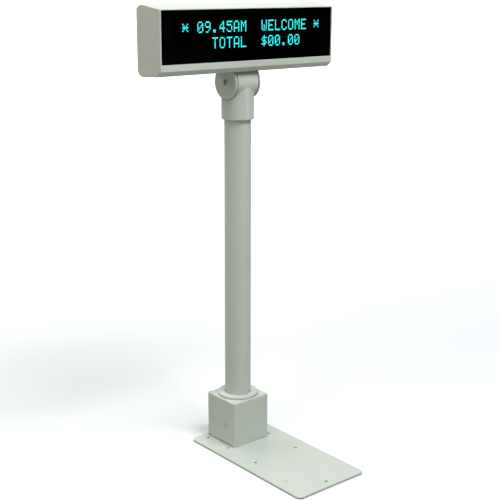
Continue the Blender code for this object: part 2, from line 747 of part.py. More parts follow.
def rear_cover(axis):
    cover = panel(
        "rear_cover", COVER_HALF, COVER_LOW, COVER_HIGH, 2.7 * mm, HEAD_BACK - COVER_THICK, HEAD_BACK
    )
    soften(cover, 0.4 * mm, 1, 60)
    for x, z in COVER_SCREWS:
        cut(cover, rod("cover_hole", 1.6 * mm, (x, 10 * mm, z), (x, 22 * mm, z)))
        sink = (x, HEAD_BACK - 1.3 * mm, z), (x, HEAD_BACK + 3 * mm, z)
        cut(cover, rod("cover_sink", 2.7 * mm, *sink))
    for index in range(VENT_COUNT):
        x = (index - (VENT_COUNT - 1) / 2) * VENT_PITCH
        vent = rounded(
            [
                (x - 1.2 * mm, 474 * mm, 1.1 * mm),
                (x + 1.2 * mm, 474 * mm, 1.1 * mm),
                (x + 1.2 * mm, 488 * mm, 1.1 * mm),
                (x - 1.2 * mm, 488 * mm, 1.1 * mm),
            ],
            segments=2,
        )
        cut(cover, prism("vent", vent, 12 * mm, 20 * mm, "Y"))
    finish(cover, putty_plastic, axis)

    screws = []
    for x, z in COVER_SCREWS:
        profile = screw_profile(2.3 * mm, 0.9 * mm, 1.1 * mm, 8 * mm, 0.9 * mm, 0.6 * mm)
        screws.append(turned("cover_screw", profile, (x, HEAD_BACK - 1.0 * mm, z), (0, 1, 0)))
    finish_each("cover_screw", screws, zinc_steel, axis)


VENT_COUNT = 10
VENT_PITCH = 6.5 * mm


def window_parts(axis):
    front = HEAD_FRONT + 0.5 * mm
    back = front + 1.8 * mm
    window = panel("filter_window", WINDOW_HALF, WINDOW_LOW, WINDOW_HIGH, 1.0 * mm, front, back)
    finish(soften(window, 0.2 * mm, 1, 60), smoked_filter, axis)

    low, high = WINDOW_LOW + 0.2 * mm, WINDOW_HIGH - 0.2 * mm
    gasket_front, gasket_back = back + GAP, LEDGE_FRONT - GAP
    half = WINDOW_HALF - 0.2 * mm
    gasket = panel("window_gasket", half, low, high, 1 * mm, gasket_front, gasket_back)
    inside = panel(
        "gasket_inside",
        half - 3.4 * mm,
        low + 3.4 * mm,
        high - 3.4 * mm,
        1 * mm,
        gasket_front - mm,
        gasket_back + mm,
    )
    finish(cut(gasket, inside), black_rubber, axis)


def display_tube(axis):
    """The flat vacuum display: a glass tray over a glass plate, with its leads bent back to the board."""
    low, high = 452.2 * mm, 490.6 * mm
    front, back = CAVITY_FRONT + 0.8 * mm, CAVITY_FRONT + 6.8 * mm
    tray = panel("display_front_glass", 98 * mm, low, high, 1.5 * mm, front, back)
    inner = (front + 2.2 * mm, back + mm)
    cut(tray, panel("tray_inside", 96 * mm, low + 2 * mm, high - 2 * mm, 1 * mm, *inner))
    finish(tray, tube_glass, axis)
    plate_back = back + GAP + 2.3 * mm
    plate = panel("display_back_glass", 99.4 * mm, low - 2 * mm, high + 2 * mm, 0.6 * mm, back + GAP, plate_back)
    finish(plate, tube_glass, axis)
    comb = LEAD_PITCH * (LEAD_COUNT - 1) / 2 + 0.5 * mm
    leads_low, leads_high = low - 1.3 * mm, low - 0.6 * mm
    bar = (-comb, plate_back + GAP, leads_low), (comb, plate_back + 1.0 * mm, leads_high)
    leads = block("display_leads", *bar)
    for index in range(LEAD_COUNT):
        x = (index - (LEAD_COUNT - 1) / 2) * LEAD_PITCH
        start = (x - 0.3 * mm, plate_back + 0.6 * mm, leads_low + 0.1 * mm)
        end = (x + 0.3 * mm, BOARD_FRONT - GAP, leads_high - 0.1 * mm)
        join(leads, block("lead", start, end))
    finish(leads, zinc_steel, axis)


LEAD_COUNT = 20
LEAD_PITCH = 9.5 * mm


def board_parts(axis):
    back = BOARD_FRONT + BOARD_THICK
    board = panel("display_board", 107 * mm, 448.2 * mm, 492.4 * mm, 1 * mm, BOARD_FRONT, back)
    for x, z in BOARD_SCREWS:
        cut(board, rod("board_hole", 1.6 * mm, (x, -8 * mm, z), (x, 8 * mm, z)))
    finish(board, green_board, axis)
    screws = []
    for x, z in BOARD_SCREWS:
        profile = screw_profile(2.5 * mm, 1.6 * mm, 1.1 * mm, 7 * mm, 0.9 * mm, 0.9 * mm)
        screws.append(turned("board_screw", profile, (x, back + GAP, z), (0, 1, 0)))
    finish_each("board_screw", screws, zinc_steel, axis)

    face = back + GAP
    chips = []
    for x in (-72 * mm, -44 * mm, -16 * mm):
        chip = block("chip", (x - 8 * mm, face, 462 * mm), (x + 8 * mm, face + 2.2 * mm, 478 * mm))
        chips.append(soften(chip, 0.3 * mm, 1))
    finish_each("driver_chip", chips, black_resin, axis)
    coil_centre = (38 * mm, face, 470 * mm)
    profile = [
        (7.5 * mm, 9 * mm),
        (7.5 * mm, 7.4 * mm),
        (5.6 * mm, 7.4 * mm),
        (5.6 * mm, 1.6 * mm),
        (7.5 * mm, 1.6 * mm),
        (7.5 * mm, 0),
        (2 * mm, 0),
        (2 * mm, 9 * mm),
    ]
    finish(turned("converter_coil", profile, coil_centre, (0, 1, 0)), black_resin, axis)
    cans = []
    for x in (56 * mm, 70 * mm):
        can = [
            (0, 10.5 * mm),
            (4.1 * mm, 10.5 * mm),
            (4.5 * mm, 10.1 * mm),
            (4.5 * mm, 1.6 * mm),
            (4.2 * mm, 1.2 * mm),
            (4.5 * mm, 0.8 * mm),
            (4.5 * mm, 0),
            (0, 0),
        ]
        cans.append(turned("can", can, (x, face, 474 * mm), (0, 1, 0)))
    finish_each("filter_capacitor", cans, black_resin, axis)
    plug = block("cable_header", (-13 * mm, face, 449.5 * mm), (13 * mm, face + 8 * mm, 456.5 * mm))
    well = block("header_well", (-11.8 * mm, face + 1.5 * mm, 450.7 * mm), (11.8 * mm, 20 * mm, 455.3 * mm))
    finish(cut(plug, well), white_nylon, axis)


counter_plate()
folded_box()
box_fasteners()
cable_grommet()
pole_parts()
swivel_axis = pivot("swivel_axis", (0, 0, POLE_TOP))
tilt_axis = pivot("tilt_axis", (0, 0, HINGE_Z))
bpy.context.view_layer.update()
tilt_axis.parent = swivel_axis
tilt_axis.matrix_parent_inverse = swivel_axis.matrix_world.inverted()
tee_housing(swivel_axis)
swivel_parts(swivel_axis)
tilt_bracket(tilt_axis)
head_housing(tilt_axis)
rear_cover(tilt_axis)
window_parts(tilt_axis)
display_tube(tilt_axis)
board_parts(tilt_axis)
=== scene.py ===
# Customer pole display: detailed surfaces, finishes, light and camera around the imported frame.
# Lengths are metres. X is the display's width, the display faces -Y, Z is up.
import json
import math

import bpy
import bmesh
import numpy as np
from mathutils import Matrix, Vector


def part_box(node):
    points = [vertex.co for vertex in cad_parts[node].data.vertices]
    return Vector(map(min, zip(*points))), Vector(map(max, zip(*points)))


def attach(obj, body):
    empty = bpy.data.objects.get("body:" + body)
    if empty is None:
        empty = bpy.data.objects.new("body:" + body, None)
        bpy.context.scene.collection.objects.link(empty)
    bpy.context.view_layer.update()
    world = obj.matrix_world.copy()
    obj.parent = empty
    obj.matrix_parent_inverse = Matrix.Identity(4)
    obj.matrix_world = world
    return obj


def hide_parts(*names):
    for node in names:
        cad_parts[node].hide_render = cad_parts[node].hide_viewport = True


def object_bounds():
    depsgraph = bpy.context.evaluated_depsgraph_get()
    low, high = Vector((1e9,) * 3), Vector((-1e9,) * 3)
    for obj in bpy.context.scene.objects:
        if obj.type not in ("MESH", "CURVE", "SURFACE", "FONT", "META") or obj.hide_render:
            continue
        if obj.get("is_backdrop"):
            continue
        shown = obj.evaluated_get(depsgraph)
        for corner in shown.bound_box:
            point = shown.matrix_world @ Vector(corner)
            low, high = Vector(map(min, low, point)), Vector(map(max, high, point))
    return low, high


mm = 0.001
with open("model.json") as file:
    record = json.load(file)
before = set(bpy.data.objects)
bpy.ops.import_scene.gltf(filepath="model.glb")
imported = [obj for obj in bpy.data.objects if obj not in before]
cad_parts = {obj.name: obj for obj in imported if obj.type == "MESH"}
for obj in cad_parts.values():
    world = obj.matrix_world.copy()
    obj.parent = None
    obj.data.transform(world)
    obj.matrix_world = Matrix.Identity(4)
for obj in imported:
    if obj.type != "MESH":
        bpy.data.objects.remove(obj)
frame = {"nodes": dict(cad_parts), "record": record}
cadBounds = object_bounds()
nodes = frame["nodes"]
hinges = {joint["name"]: joint["pos_m"] for joint in frame["record"]["behaviour"]["joints"]}
hingeZ = hinges["head_tilt"][2]


def lowHigh(node):
    low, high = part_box(node)
    return np.array(low), np.array(high)


def middle(node):
    return sum(lowHigh(node)) / 2


# meshes from arrays

def gridFaces(rows, columns, wrapRows=False, wrapColumns=False):
    # each quad joins point (i, j) to its neighbours one row and one column on; a wrapped side closes
    i = np.arange(rows if wrapRows else rows - 1)[:, None]
    j = np.arange(columns if wrapColumns else columns - 1)[None, :]
    iNext, jNext = (i + 1) % rows, (j + 1) % columns
    corners = [i * columns + j, i * columns + jNext, iNext * columns + jNext, iNext * columns + j]
    return np.stack(np.broadcast_arrays(*corners), -1).reshape(-1, 4).tolist()


def addPiece(name, points, faces, merge=2e-6):
    mesh = bpy.data.meshes.new(name)
    mesh.from_pydata(np.asarray(points).reshape(-1, 3).tolist(), [], faces)
    piece = bpy.data.objects.new(name, mesh)
    bpy.context.scene.collection.objects.link(piece)
    shape = bmesh.new()
    shape.from_mesh(mesh)
    bmesh.ops.remove_doubles(shape, verts=shape.verts, dist=merge)
    bmesh.ops.recalc_face_normals(shape, faces=shape.faces)
    shape.to_mesh(mesh)
    shape.free()
    return piece


def filletLoop(turns, steps=6):
    # straight runs joined by arcs: an arc's centre is on the bisector, radius / sin(half angle) away
    corner = np.array(turns, float)
    here, radius = corner[:, :2], corner[:, 2:]
    back = np.roll(here, 1, 0) - here
    ahead = np.roll(here, -1, 0) - here
    back /= np.linalg.norm(back, axis=1, keepdims=True)
    ahead /= np.linalg.norm(ahead, axis=1, keepdims=True)
    half = np.arccos(np.clip((back * ahead).sum(1, keepdims=True), -1, 1)) / 2
    bisector = back + ahead
    bisector /= np.linalg.norm(bisector, axis=1, keepdims=True)
    centre = here + bisector * radius / np.sin(half)
    first = here + back * radius / np.tan(half) - centre
    last = here + ahead * radius / np.tan(half) - centre
    sweep = np.arctan2(first[:, 0] * last[:, 1] - first[:, 1] * last[:, 0], (first * last).sum(1))[:, None]
    angle = sweep * np.linspace(0, 1, steps + 1)[None, :]
    cos, sin = np.cos(angle)[..., None], np.sin(angle)[..., None]
    arc = cos * first[:, None] + sin * np.stack([-first[:, 1], first[:, 0]], -1)[:, None]
    return (centre[:, None] + arc).reshape(-1, 2)


def rectangleLoop(u0, v0, u1, v1, radius, steps=6):
    return filletLoop([(u0, v0, radius), (u1, v0, radius), (u1, v1, radius), (u0, v1, radius)], steps)


def insetLoop(loop, distance):
    # every point moves in along the normal of the chord between its neighbours
    chord = np.roll(loop, -1, 0) - np.roll(loop, 1, 0)
    normal = np.stack([-chord[:, 1], chord[:, 0]], -1)
    normal /= np.maximum(np.linalg.norm(normal, axis=1, keepdims=True), 1e-12)
    area = (loop[:, 0] * np.roll(loop[:, 1], -1) - np.roll(loop[:, 0], -1) * loop[:, 1]).sum()
    return loop + normal * distance * np.sign(area)


def roundedStations(low, high, edgeLow=0.0, edgeHigh=0.0, steps=5):
    # (inset, place) along a solid: a quarter circle of the edge's radius at each end
    turn = np.linspace(0, np.pi / 2, steps + 1)
    first = np.stack([edgeLow * (1 - np.sin(turn)), low + edgeLow * (1 - np.cos(turn))], -1)
    last = np.stack([edgeHigh * (1 - np.sin(turn)), high - edgeHigh * (1 - np.cos(turn))], -1)
    return np.concatenate([first if edgeLow else first[:1], last[::-1] if edgeHigh else last[:1]])


def loopSolid(name, loop, stations, axis):
    # a closed outline carried along an axis, set in at each station, with a flat face at both ends
    rings = []
    for inset, place in stations:
        u, v = (insetLoop(loop, inset) if inset else loop).T
        along = np.full(len(loop), place)
        rings.append(np.stack({"X": (along, u, v), "Y": (u, along, v), "Z": (u, v, along)}[axis], -1))
    count = len(loop)
    faces = gridFaces(len(rings), count, wrapColumns=True)
    faces.append(list(range(count)))
    faces.append(list(range((len(rings) - 1) * count, len(rings) * count)))
    return addPiece(name, np.array(rings), faces)


def spin(name, profile, centre, direction, turns=96, closed=True):
    # every (radius, height) of the profile goes once round the axis
    axis = Vector(direction).normalized()
    side = axis.orthogonal().normalized()
    across = np.array(axis.cross(side))
    angle = np.arange(turns) * 2 * np.pi / turns
    radius, height = np.array(profile, float).T[..., None, None]
    points = (np.asarray(centre) + height * np.array(axis)
              + radius * (np.cos(angle)[:, None] * np.array(side) + np.sin(angle)[:, None] * across))
    return addPiece(name, points, gridFaces(len(radius), turns, wrapRows=closed, wrapColumns=True))


def rod(radius, start, end, turns=64):
    start, end = np.array(start, float), np.array(end, float)
    length = np.linalg.norm(end - start)
    profile = [(0, 0), (radius, 0), (radius, length), (0, length)]
    return spin("rod", profile, start, end - start, turns, False)


def box(low, high):
    outline = np.array([(low[0], low[1]), (high[0], low[1]), (high[0], high[1]), (low[0], high[1])])
    return loopSolid("box", outline, [(0, low[2]), (0, high[2])], "Z")


def settle(piece):
    # the evaluated mesh takes the place of the modifiers
    graph = bpy.context.evaluated_depsgraph_get()
    done = bpy.data.meshes.new_from_object(piece.evaluated_get(graph), depsgraph=graph)
    piece.modifiers.clear()
    piece.data = done
    return piece


def combine(piece, cutters):
    for cutter in cutters:
        modifier = piece.modifiers.new(cutter.name, "BOOLEAN")
        modifier.operation = "DIFFERENCE"
        modifier.solver = "MANIFOLD"
        modifier.object = cutter
    settle(piece)
    for cutter in cutters:
        bpy.data.objects.remove(cutter)
    return piece


def finishPiece(piece, body, slotName, replaced=(), sharp=35):
    piece.data.materials.clear()
    piece.data.materials.append(finishes[slotName])
    piece.data.shade_smooth()
    piece.data.set_sharp_from_angle(angle=math.radians(sharp))
    weighted = piece.modifiers.new("shading", "WEIGHTED_NORMAL")
    weighted.keep_sharp = True
    settle(piece)
    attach(piece, body)
    if replaced:
        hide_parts(*replaced)
    return piece


# finishes

def addNode(tree, kind, wired=None, **settings):
    made = tree.nodes.new("ShaderNode" + kind)
    for key, value in settings.items():
        setattr(made, key, value)
    for socket, value in (wired or {}).items():
        if isinstance(value, bpy.types.NodeSocket):
            tree.links.new(value, made.inputs[socket])
        else:
            made.inputs[socket].default_value = value
    return made


def newGroup(name, inputs, outputs):
    group = bpy.data.node_groups.new(name, "ShaderNodeTree")
    for kind, label, value in inputs:
        socket = group.interface.new_socket(label, in_out="INPUT", socket_type="NodeSocket" + kind)
        if value is not None:
            socket.default_value = value
    for kind, label in outputs:
        group.interface.new_socket(label, in_out="OUTPUT", socket_type="NodeSocket" + kind)
    return group, group.nodes.new("NodeGroupInput").outputs, group.nodes.new("NodeGroupOutput").inputs


def ramp(tree, value, low, high, toLow=0.0, toHigh=1.0):
    return addNode(tree, "MapRange", {"Value": value, "From Min": low, "From Max": high, "To Min": toLow,
                                      "To Max": toHigh}, interpolation_type="SMOOTHSTEP").outputs["Result"]


def grainGroup():
    # fine bumps of a sprayed or moulded surface; height is 0 to 1, patches is the finish's slow unevenness
    scales = [("Float", "Grain Scale", 2600.0), ("Float", "Patch Scale", 38.0)]
    group, given, out = newGroup("fine grain", scales,
                                 [("Float", "Height"), ("Float", "Specks"), ("Float", "Patches")])
    place = addNode(group, "TexCoord").outputs["Object"]
    coarse = addNode(group, "TexNoise", {"Vector": place, "Scale": given["Grain Scale"], "Detail": 2.0,
                                         "Roughness": 0.55})
    cells = addNode(group, "TexVoronoi", {"Vector": place, "Scale": given["Grain Scale"], "Randomness": 1.0},
                    feature="SMOOTH_F1")
    both = addNode(group, "Math", {0: coarse.outputs["Fac"], 1: cells.outputs["Distance"]}, operation="ADD")
    half = addNode(group, "Math", {0: both.outputs[0], 1: 0.6}, operation="MULTIPLY")
    patches = addNode(group, "TexNoise", {"Vector": place, "Scale": given["Patch Scale"], "Detail": 3.0})
    speck = addNode(group, "TexNoise", {"Vector": place, "Scale": 900.0, "Detail": 1.0})
    group.links.new(half.outputs[0], out["Height"])
    group.links.new(ramp(group, speck.outputs["Fac"], 0.68, 0.78), out["Specks"])
    group.links.new(ramp(group, patches.outputs["Fac"], 0.35, 0.65), out["Patches"])
    return group


def dustGroup():
    # mask of settled dust: faces that look up, broken by cloudy noise
    group, given, out = newGroup("settled dust", [("Float", "Amount", 0.5), ("Float", "Cloud Scale", 60.0)],
                                 [("Float", "Mask")])
    place = addNode(group, "TexCoord")
    up = addNode(group, "SeparateXYZ", {0: place.outputs["Normal"]}).outputs["Z"]
    level = ramp(group, up, 0.55, 0.98)
    cloud = addNode(group, "TexNoise", {"Vector": place.outputs["Object"], "Scale": given["Cloud Scale"],
                                        "Detail": 6.0, "Roughness": 0.7})
    broken = ramp(group, cloud.outputs["Fac"], 0.38, 0.72)
    mixed = addNode(group, "Math", {0: level, 1: broken}, operation="MULTIPLY")
    amount = addNode(group, "Math", {0: mixed.outputs[0], 1: given["Amount"]}, operation="MULTIPLY")
    group.links.new(amount.outputs[0], out["Mask"])
    return group


def wearAndHighlightGroup():
    # mask of handled edges: where the rounded normal leaves the flat one, broken by noise; the lighter
    # colour it brings in is partly wear and partly a painted highlight on rounded edges
    group, given, out = newGroup("edge wear", [("Float", "Width", 0.0004)],
                                 [("Float", "Mask"), ("Vector", "Normal")])
    rounded = addNode(group, "Bevel", {"Radius": given["Width"]}, samples=4)
    flat = addNode(group, "NewGeometry")
    alike = addNode(group, "VectorMath", {0: rounded.outputs["Normal"], 1: flat.outputs["Normal"]},
                    operation="DOT_PRODUCT")
    place = addNode(group, "TexCoord").outputs["Object"]
    noise = addNode(group, "TexNoise", {"Vector": place, "Scale": 420.0, "Detail": 3.0})
    edge = ramp(group, alike.outputs["Value"], 0.995, 0.86)
    broken = ramp(group, noise.outputs["Fac"], 0.36, 0.62)
    mask = addNode(group, "Math", {0: edge, 1: broken}, operation="MULTIPLY")
    group.links.new(mask.outputs[0], out["Mask"])
    group.links.new(rounded.outputs["Normal"], out["Normal"])
    return group


grain, dust, wearAndHighlight = grainGroup(), dustGroup(), wearAndHighlightGroup()


def useGroup(tree, group, **wired):
    made = tree.nodes.new("ShaderNodeGroup")
    made.node_tree = group
    for label, value in wired.items():
        made.inputs[label.replace("_", " ")].default_value = value
    return made


def colourMix(tree, factor, first, second):
    # a Mix node set to colours takes them at inputs 6 and 7 and gives its result at output 2
    made = addNode(tree, "Mix", {"Factor": factor}, data_type="RGBA")
    for socket, value in ((made.inputs[6], first), (made.inputs[7], second)):
        if isinstance(value, bpy.types.NodeSocket):
            tree.links.new(value, socket)
        else:
            socket.default_value = (*value, 1.0)
    return made.outputs[2]


def newFinish(name):
    made = bpy.data.materials.new(name)
    made.use_nodes = True
    return made, made.node_tree, made.node_tree.nodes["Principled BSDF"]


def puttyFinish(name, look):
    made, tree, shader = newFinish(name)
    surface = useGroup(tree, grain, Grain_Scale=look["grainScale"], Patch_Scale=look["patchScale"])
    settled = useGroup(tree, dust, Amount=look["dust"])
    wornAndHighlit = useGroup(tree, wearAndHighlight, Width=look["edgeWidth"])
    base = colourMix(tree, surface.outputs["Patches"], look["colour"], look["patchColour"])
    specks = ramp(tree, surface.outputs["Specks"], 0, 1, 0, look["specks"])
    base = colourMix(tree, specks, base, look["speckColour"])
    # painted highlight: edges are lightened partly as rubbed wear and partly to stand for the bright
    # highlight that rounded edges catch
    rubbedAndHighlit = ramp(tree, wornAndHighlit.outputs["Mask"], 0, 1, 0, look["wearAndHighlight"])
    base = colourMix(tree, rubbedAndHighlit, base, look["wearAndHighlightColour"])
    base = colourMix(tree, settled.outputs["Mask"], base, look["dustColour"])
    if "smudges" in look:
        place = addNode(tree, "TexCoord").outputs["Object"]
        for centre, radius, strength in look["smudges"]:
            # a rubbed spot: fades out with distance from its centre, broken by stretched noise
            away = addNode(tree, "VectorMath", {0: place, 1: centre}, operation="DISTANCE").outputs["Value"]
            spot = ramp(tree, away, radius, radius * 0.25)
            streak = addNode(tree, "TexNoise", {"Vector": place, "Scale": 190.0, "Detail": 4.0,
                                                "Roughness": 0.6})
            broken = ramp(tree, streak.outputs["Fac"], 0.28, 0.56, 0, strength)
            mask = addNode(tree, "Math", {0: spot, 1: broken}, operation="MULTIPLY").outputs[0]
            base = colourMix(tree, mask, base, look["smudgeColour"])
    tree.links.new(base, shader.inputs["Base Color"])
    rough = ramp(tree, surface.outputs["Patches"], 0, 1, look["roughness"] - 0.04, look["roughness"] + 0.05)
    dulling = ramp(tree, settled.outputs["Mask"], 0, 1, 0, 0.25)
    dulled = addNode(tree, "Math", {0: rough, 1: dulling}, operation="ADD")
    tree.links.new(dulled.outputs[0], shader.inputs["Roughness"])
    shader.inputs["Specular IOR Level"].default_value = look["specular"]
    shader.inputs["Coat Weight"].default_value = look["coat"]
    shader.inputs["Coat Roughness"].default_value = look["coatRoughness"]
    bump = addNode(tree, "Bump", {"Height": surface.outputs["Height"], "Distance": look["bump"],
                                  "Strength": 0.6, "Normal": wornAndHighlit.outputs["Normal"]})
    tree.links.new(bump.outputs["Normal"], shader.inputs["Normal"])
    return made


def plainFinish(name, look):
    # one colour with grain, uneven shine and dust, for hardware and the parts inside
    made, tree, shader = newFinish(name)
    surface = useGroup(tree, grain, Grain_Scale=1800.0, Patch_Scale=look.get("patchScale", 120.0))
    settled = useGroup(tree, dust, Amount=look.get("dust", 0.1))
    base = colourMix(tree, surface.outputs["Patches"], look["colour"], look["patchColour"])
    base = colourMix(tree, settled.outputs["Mask"], base, (0.55, 0.54, 0.50))
    tree.links.new(base, shader.inputs["Base Color"])
    spread = look.get("spread", 0.08)
    low, high = look["roughness"] - spread, look["roughness"] + spread
    rough = ramp(tree, surface.outputs["Patches"], 0, 1, low, high)
    tree.links.new(rough, shader.inputs["Roughness"])
    shader.inputs["Metallic"].default_value = look.get("metallic", 0.0)
    bump = addNode(tree, "Bump", {"Height": surface.outputs["Height"], "Distance": look.get("bump", 0.00002),
                                  "Strength": 0.5})
    tree.links.new(bump.outputs["Normal"], shader.inputs["Normal"])
    return made


paintLook = dict(
    colour=(0.560, 0.588, 0.520), patchColour=(0.572, 0.600, 0.534), roughness=0.46, specular=0.45,
    coat=0.25, coatRoughness=0.26, grainScale=1500.0, patchScale=30.0, bump=0.00004,
    dust=0.08, dustColour=(0.66, 0.67, 0.62), specks=0.10, speckColour=(0.42, 0.43, 0.38),
    # the lighter edge colour is partly wear and partly a painted highlight on rounded edges
    wearAndHighlight=0.08, wearAndHighlightColour=(0.70, 0.71, 0.66), edgeWidth=0.0004, smudgeColour=(0.33, 0.32, 0.27),
    # centre, radius and strength: two spots on the box's left side, one on the plate
    smudges=[((-0.0258, 0.014, 0.0285), 0.0035, 0.35), ((-0.0258, -0.009, 0.0265), 0.0075, 0.5),
             ((-0.034, -0.124, 0.002), 0.004, 0.6)])
plasticLook = dict(
    colour=(0.555, 0.580, 0.505), patchColour=(0.566, 0.591, 0.517), roughness=0.46, specular=0.40,
    coat=0.35, coatRoughness=0.17, grainScale=2600.0, patchScale=22.0, bump=0.00003,
    dust=0.10, dustColour=(0.66, 0.67, 0.62), specks=0.05, speckColour=(0.44, 0.45, 0.40),
    # the lighter edge colour is partly wear and partly a painted highlight on rounded edges
    wearAndHighlight=0.12, wearAndHighlightColour=(0.72, 0.73, 0.67), edgeWidth=0.00035)

plainLooks = {
    "zinc_steel": dict(colour=(0.50, 0.50, 0.48), patchColour=(0.60, 0.60, 0.57), roughness=0.34,
                       metallic=1.0, patchScale=400.0),
    "black_rubber": dict(colour=(0.018, 0.018, 0.018), patchColour=(0.030, 0.029, 0.028), roughness=0.68,
                         dust=0.35, bump=0.00004),
    "white_nylon": dict(colour=(0.68, 0.67, 0.60), patchColour=(0.72, 0.71, 0.65), roughness=0.42),
    "tube_glass": dict(colour=(0.020, 0.026, 0.024), patchColour=(0.026, 0.034, 0.030), roughness=0.10,
                       spread=0.03, bump=0.000003),
    "green_board": dict(colour=(0.012, 0.075, 0.030), patchColour=(0.018, 0.100, 0.042), roughness=0.36,
                        patchScale=260.0),
    "black_resin": dict(colour=(0.016, 0.016, 0.018), patchColour=(0.026, 0.026, 0.027), roughness=0.44),
}
finishes = {
    "putty_paint": puttyFinish("putty_paint", paintLook),
    "putty_plastic": puttyFinish("putty_plastic", plasticLook),
}
for name, look in plainLooks.items():
    finishes[name] = plainFinish(name, look)


def smokedFinish():
    # the filter: dark see-through acrylic with wiped streaks and fine dust in its shine
    look = dict(tint=(0.030, 0.045, 0.036), cloudTint=(0.034, 0.050, 0.041), roughness=0.03, bend=1.12,
                specular=0.5)
    made, tree, shader = newFinish("smoked_filter")
    place = addNode(tree, "TexCoord").outputs["Object"]
    stretch = addNode(tree, "Mapping", {"Vector": place, "Scale": (18.0, 18.0, 140.0),
                                        "Rotation": (0, 0.5, 0)})
    wiped = addNode(tree, "TexNoise", {"Vector": stretch.outputs[0], "Scale": 1.0, "Detail": 6.0,
                                       "Roughness": 0.65})
    cloud = addNode(tree, "TexNoise", {"Vector": place, "Scale": 26.0, "Detail": 3.0})
    both = addNode(tree, "Math", {0: wiped.outputs["Fac"], 1: cloud.outputs["Fac"]}, operation="MULTIPLY")
    rough = ramp(tree, both.outputs[0], 0.16, 0.42, look["roughness"], look["roughness"] + 0.04)
    tree.links.new(rough, shader.inputs["Roughness"])
    clouded = ramp(tree, cloud.outputs["Fac"], 0.3, 0.7)
    base = colourMix(tree, clouded, look["tint"], look["cloudTint"])
    tree.links.new(base, shader.inputs["Base Color"])
    shader.inputs["Metallic"].default_value = 0.0
    shader.inputs["Transmission Weight"].default_value = 1.0
    shader.inputs["IOR"].default_value = look["bend"]
    shader.inputs["Specular IOR Level"].default_value = look["specular"]
    return made


def glowFinish():
    # phosphor dots: even cyan with a slight unevenness from dot to dot
    look = dict(colour=(0.047, 0.91, 1.0), strength=7.8)
    made, tree, shader = newFinish("lit_dots")
    place = addNode(tree, "TexCoord").outputs["Object"]
    spots = addNode(tree, "TexNoise", {"Vector": place, "Scale": 220.0, "Detail": 1.0})
    level = ramp(tree, spots.outputs["Fac"], 0.3, 0.7, look["strength"] * 0.85, look["strength"] * 1.1)
    shader.inputs["Base Color"].default_value = (0.02, 0.30, 0.26, 1.0)
    shader.inputs["Roughness"].default_value = 0.6
    shader.inputs["Emission Color"].default_value = (*look["colour"], 1.0)
    tree.links.new(level, shader.inputs["Emission Strength"])
    return made


finishes["smoked_filter"] = smokedFinish()
finishes["lit_dots"] = glowFinish()
print("finishes made:", len(finishes))

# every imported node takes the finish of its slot
for part in frame["record"]["subparts"]:
    node = nodes[part["node"]]
    node.data.materials.clear()
    node.data.materials.append(finishes[part["material_slot"]])


# counter plate: rounded outline, holes for its counter screws and sinks for the box's screws

def makePlate():
    plate = dict(corner=6 * mm, edge=0.3 * mm, holeRadius=1.9 * mm, shank=1.8 * mm, sink=3.6 * mm,
                 holes=((-31, 17), (31, 17), (-31, -19.7), (31, -19.7), (-30, -68.7), (30, -68.7),
                        (0, -151.7)))
    low, high = lowHigh("base_plate")
    outline = rectangleLoop(low[0], low[1], high[0], high[1], plate["corner"], 12)
    stations = roundedStations(low[2], high[2], plate["edge"], plate["edge"], 3)
    piece = loopSolid("counterPlate", outline, stations, "Z")
    cutters = []
    for x, y in plate["holes"]:
        cutters.append(rod(plate["holeRadius"], (x * mm, y * mm, -mm), (x * mm, y * mm, 4 * mm), 40))
    shank, sink = plate["shank"], plate["sink"]
    profile = [(0, 3 * mm), (shank, 3 * mm), (shank, 1.5 * mm), (sink, -0.3 * mm), (sink, -mm), (0, -mm)]
    for index in range(4):
        centre = middle(f"box_screw_{index + 1}") * [1, 1, 0]
        cutters.append(spin("sink", profile, centre, (0, 0, 1), 40, False))
    combine(piece, cutters)
    return finishPiece(piece, "base", "putty_paint", ["base_plate"])


# box: one sheet folded down on four sides, with relief holes at the corners and tabs for its screws

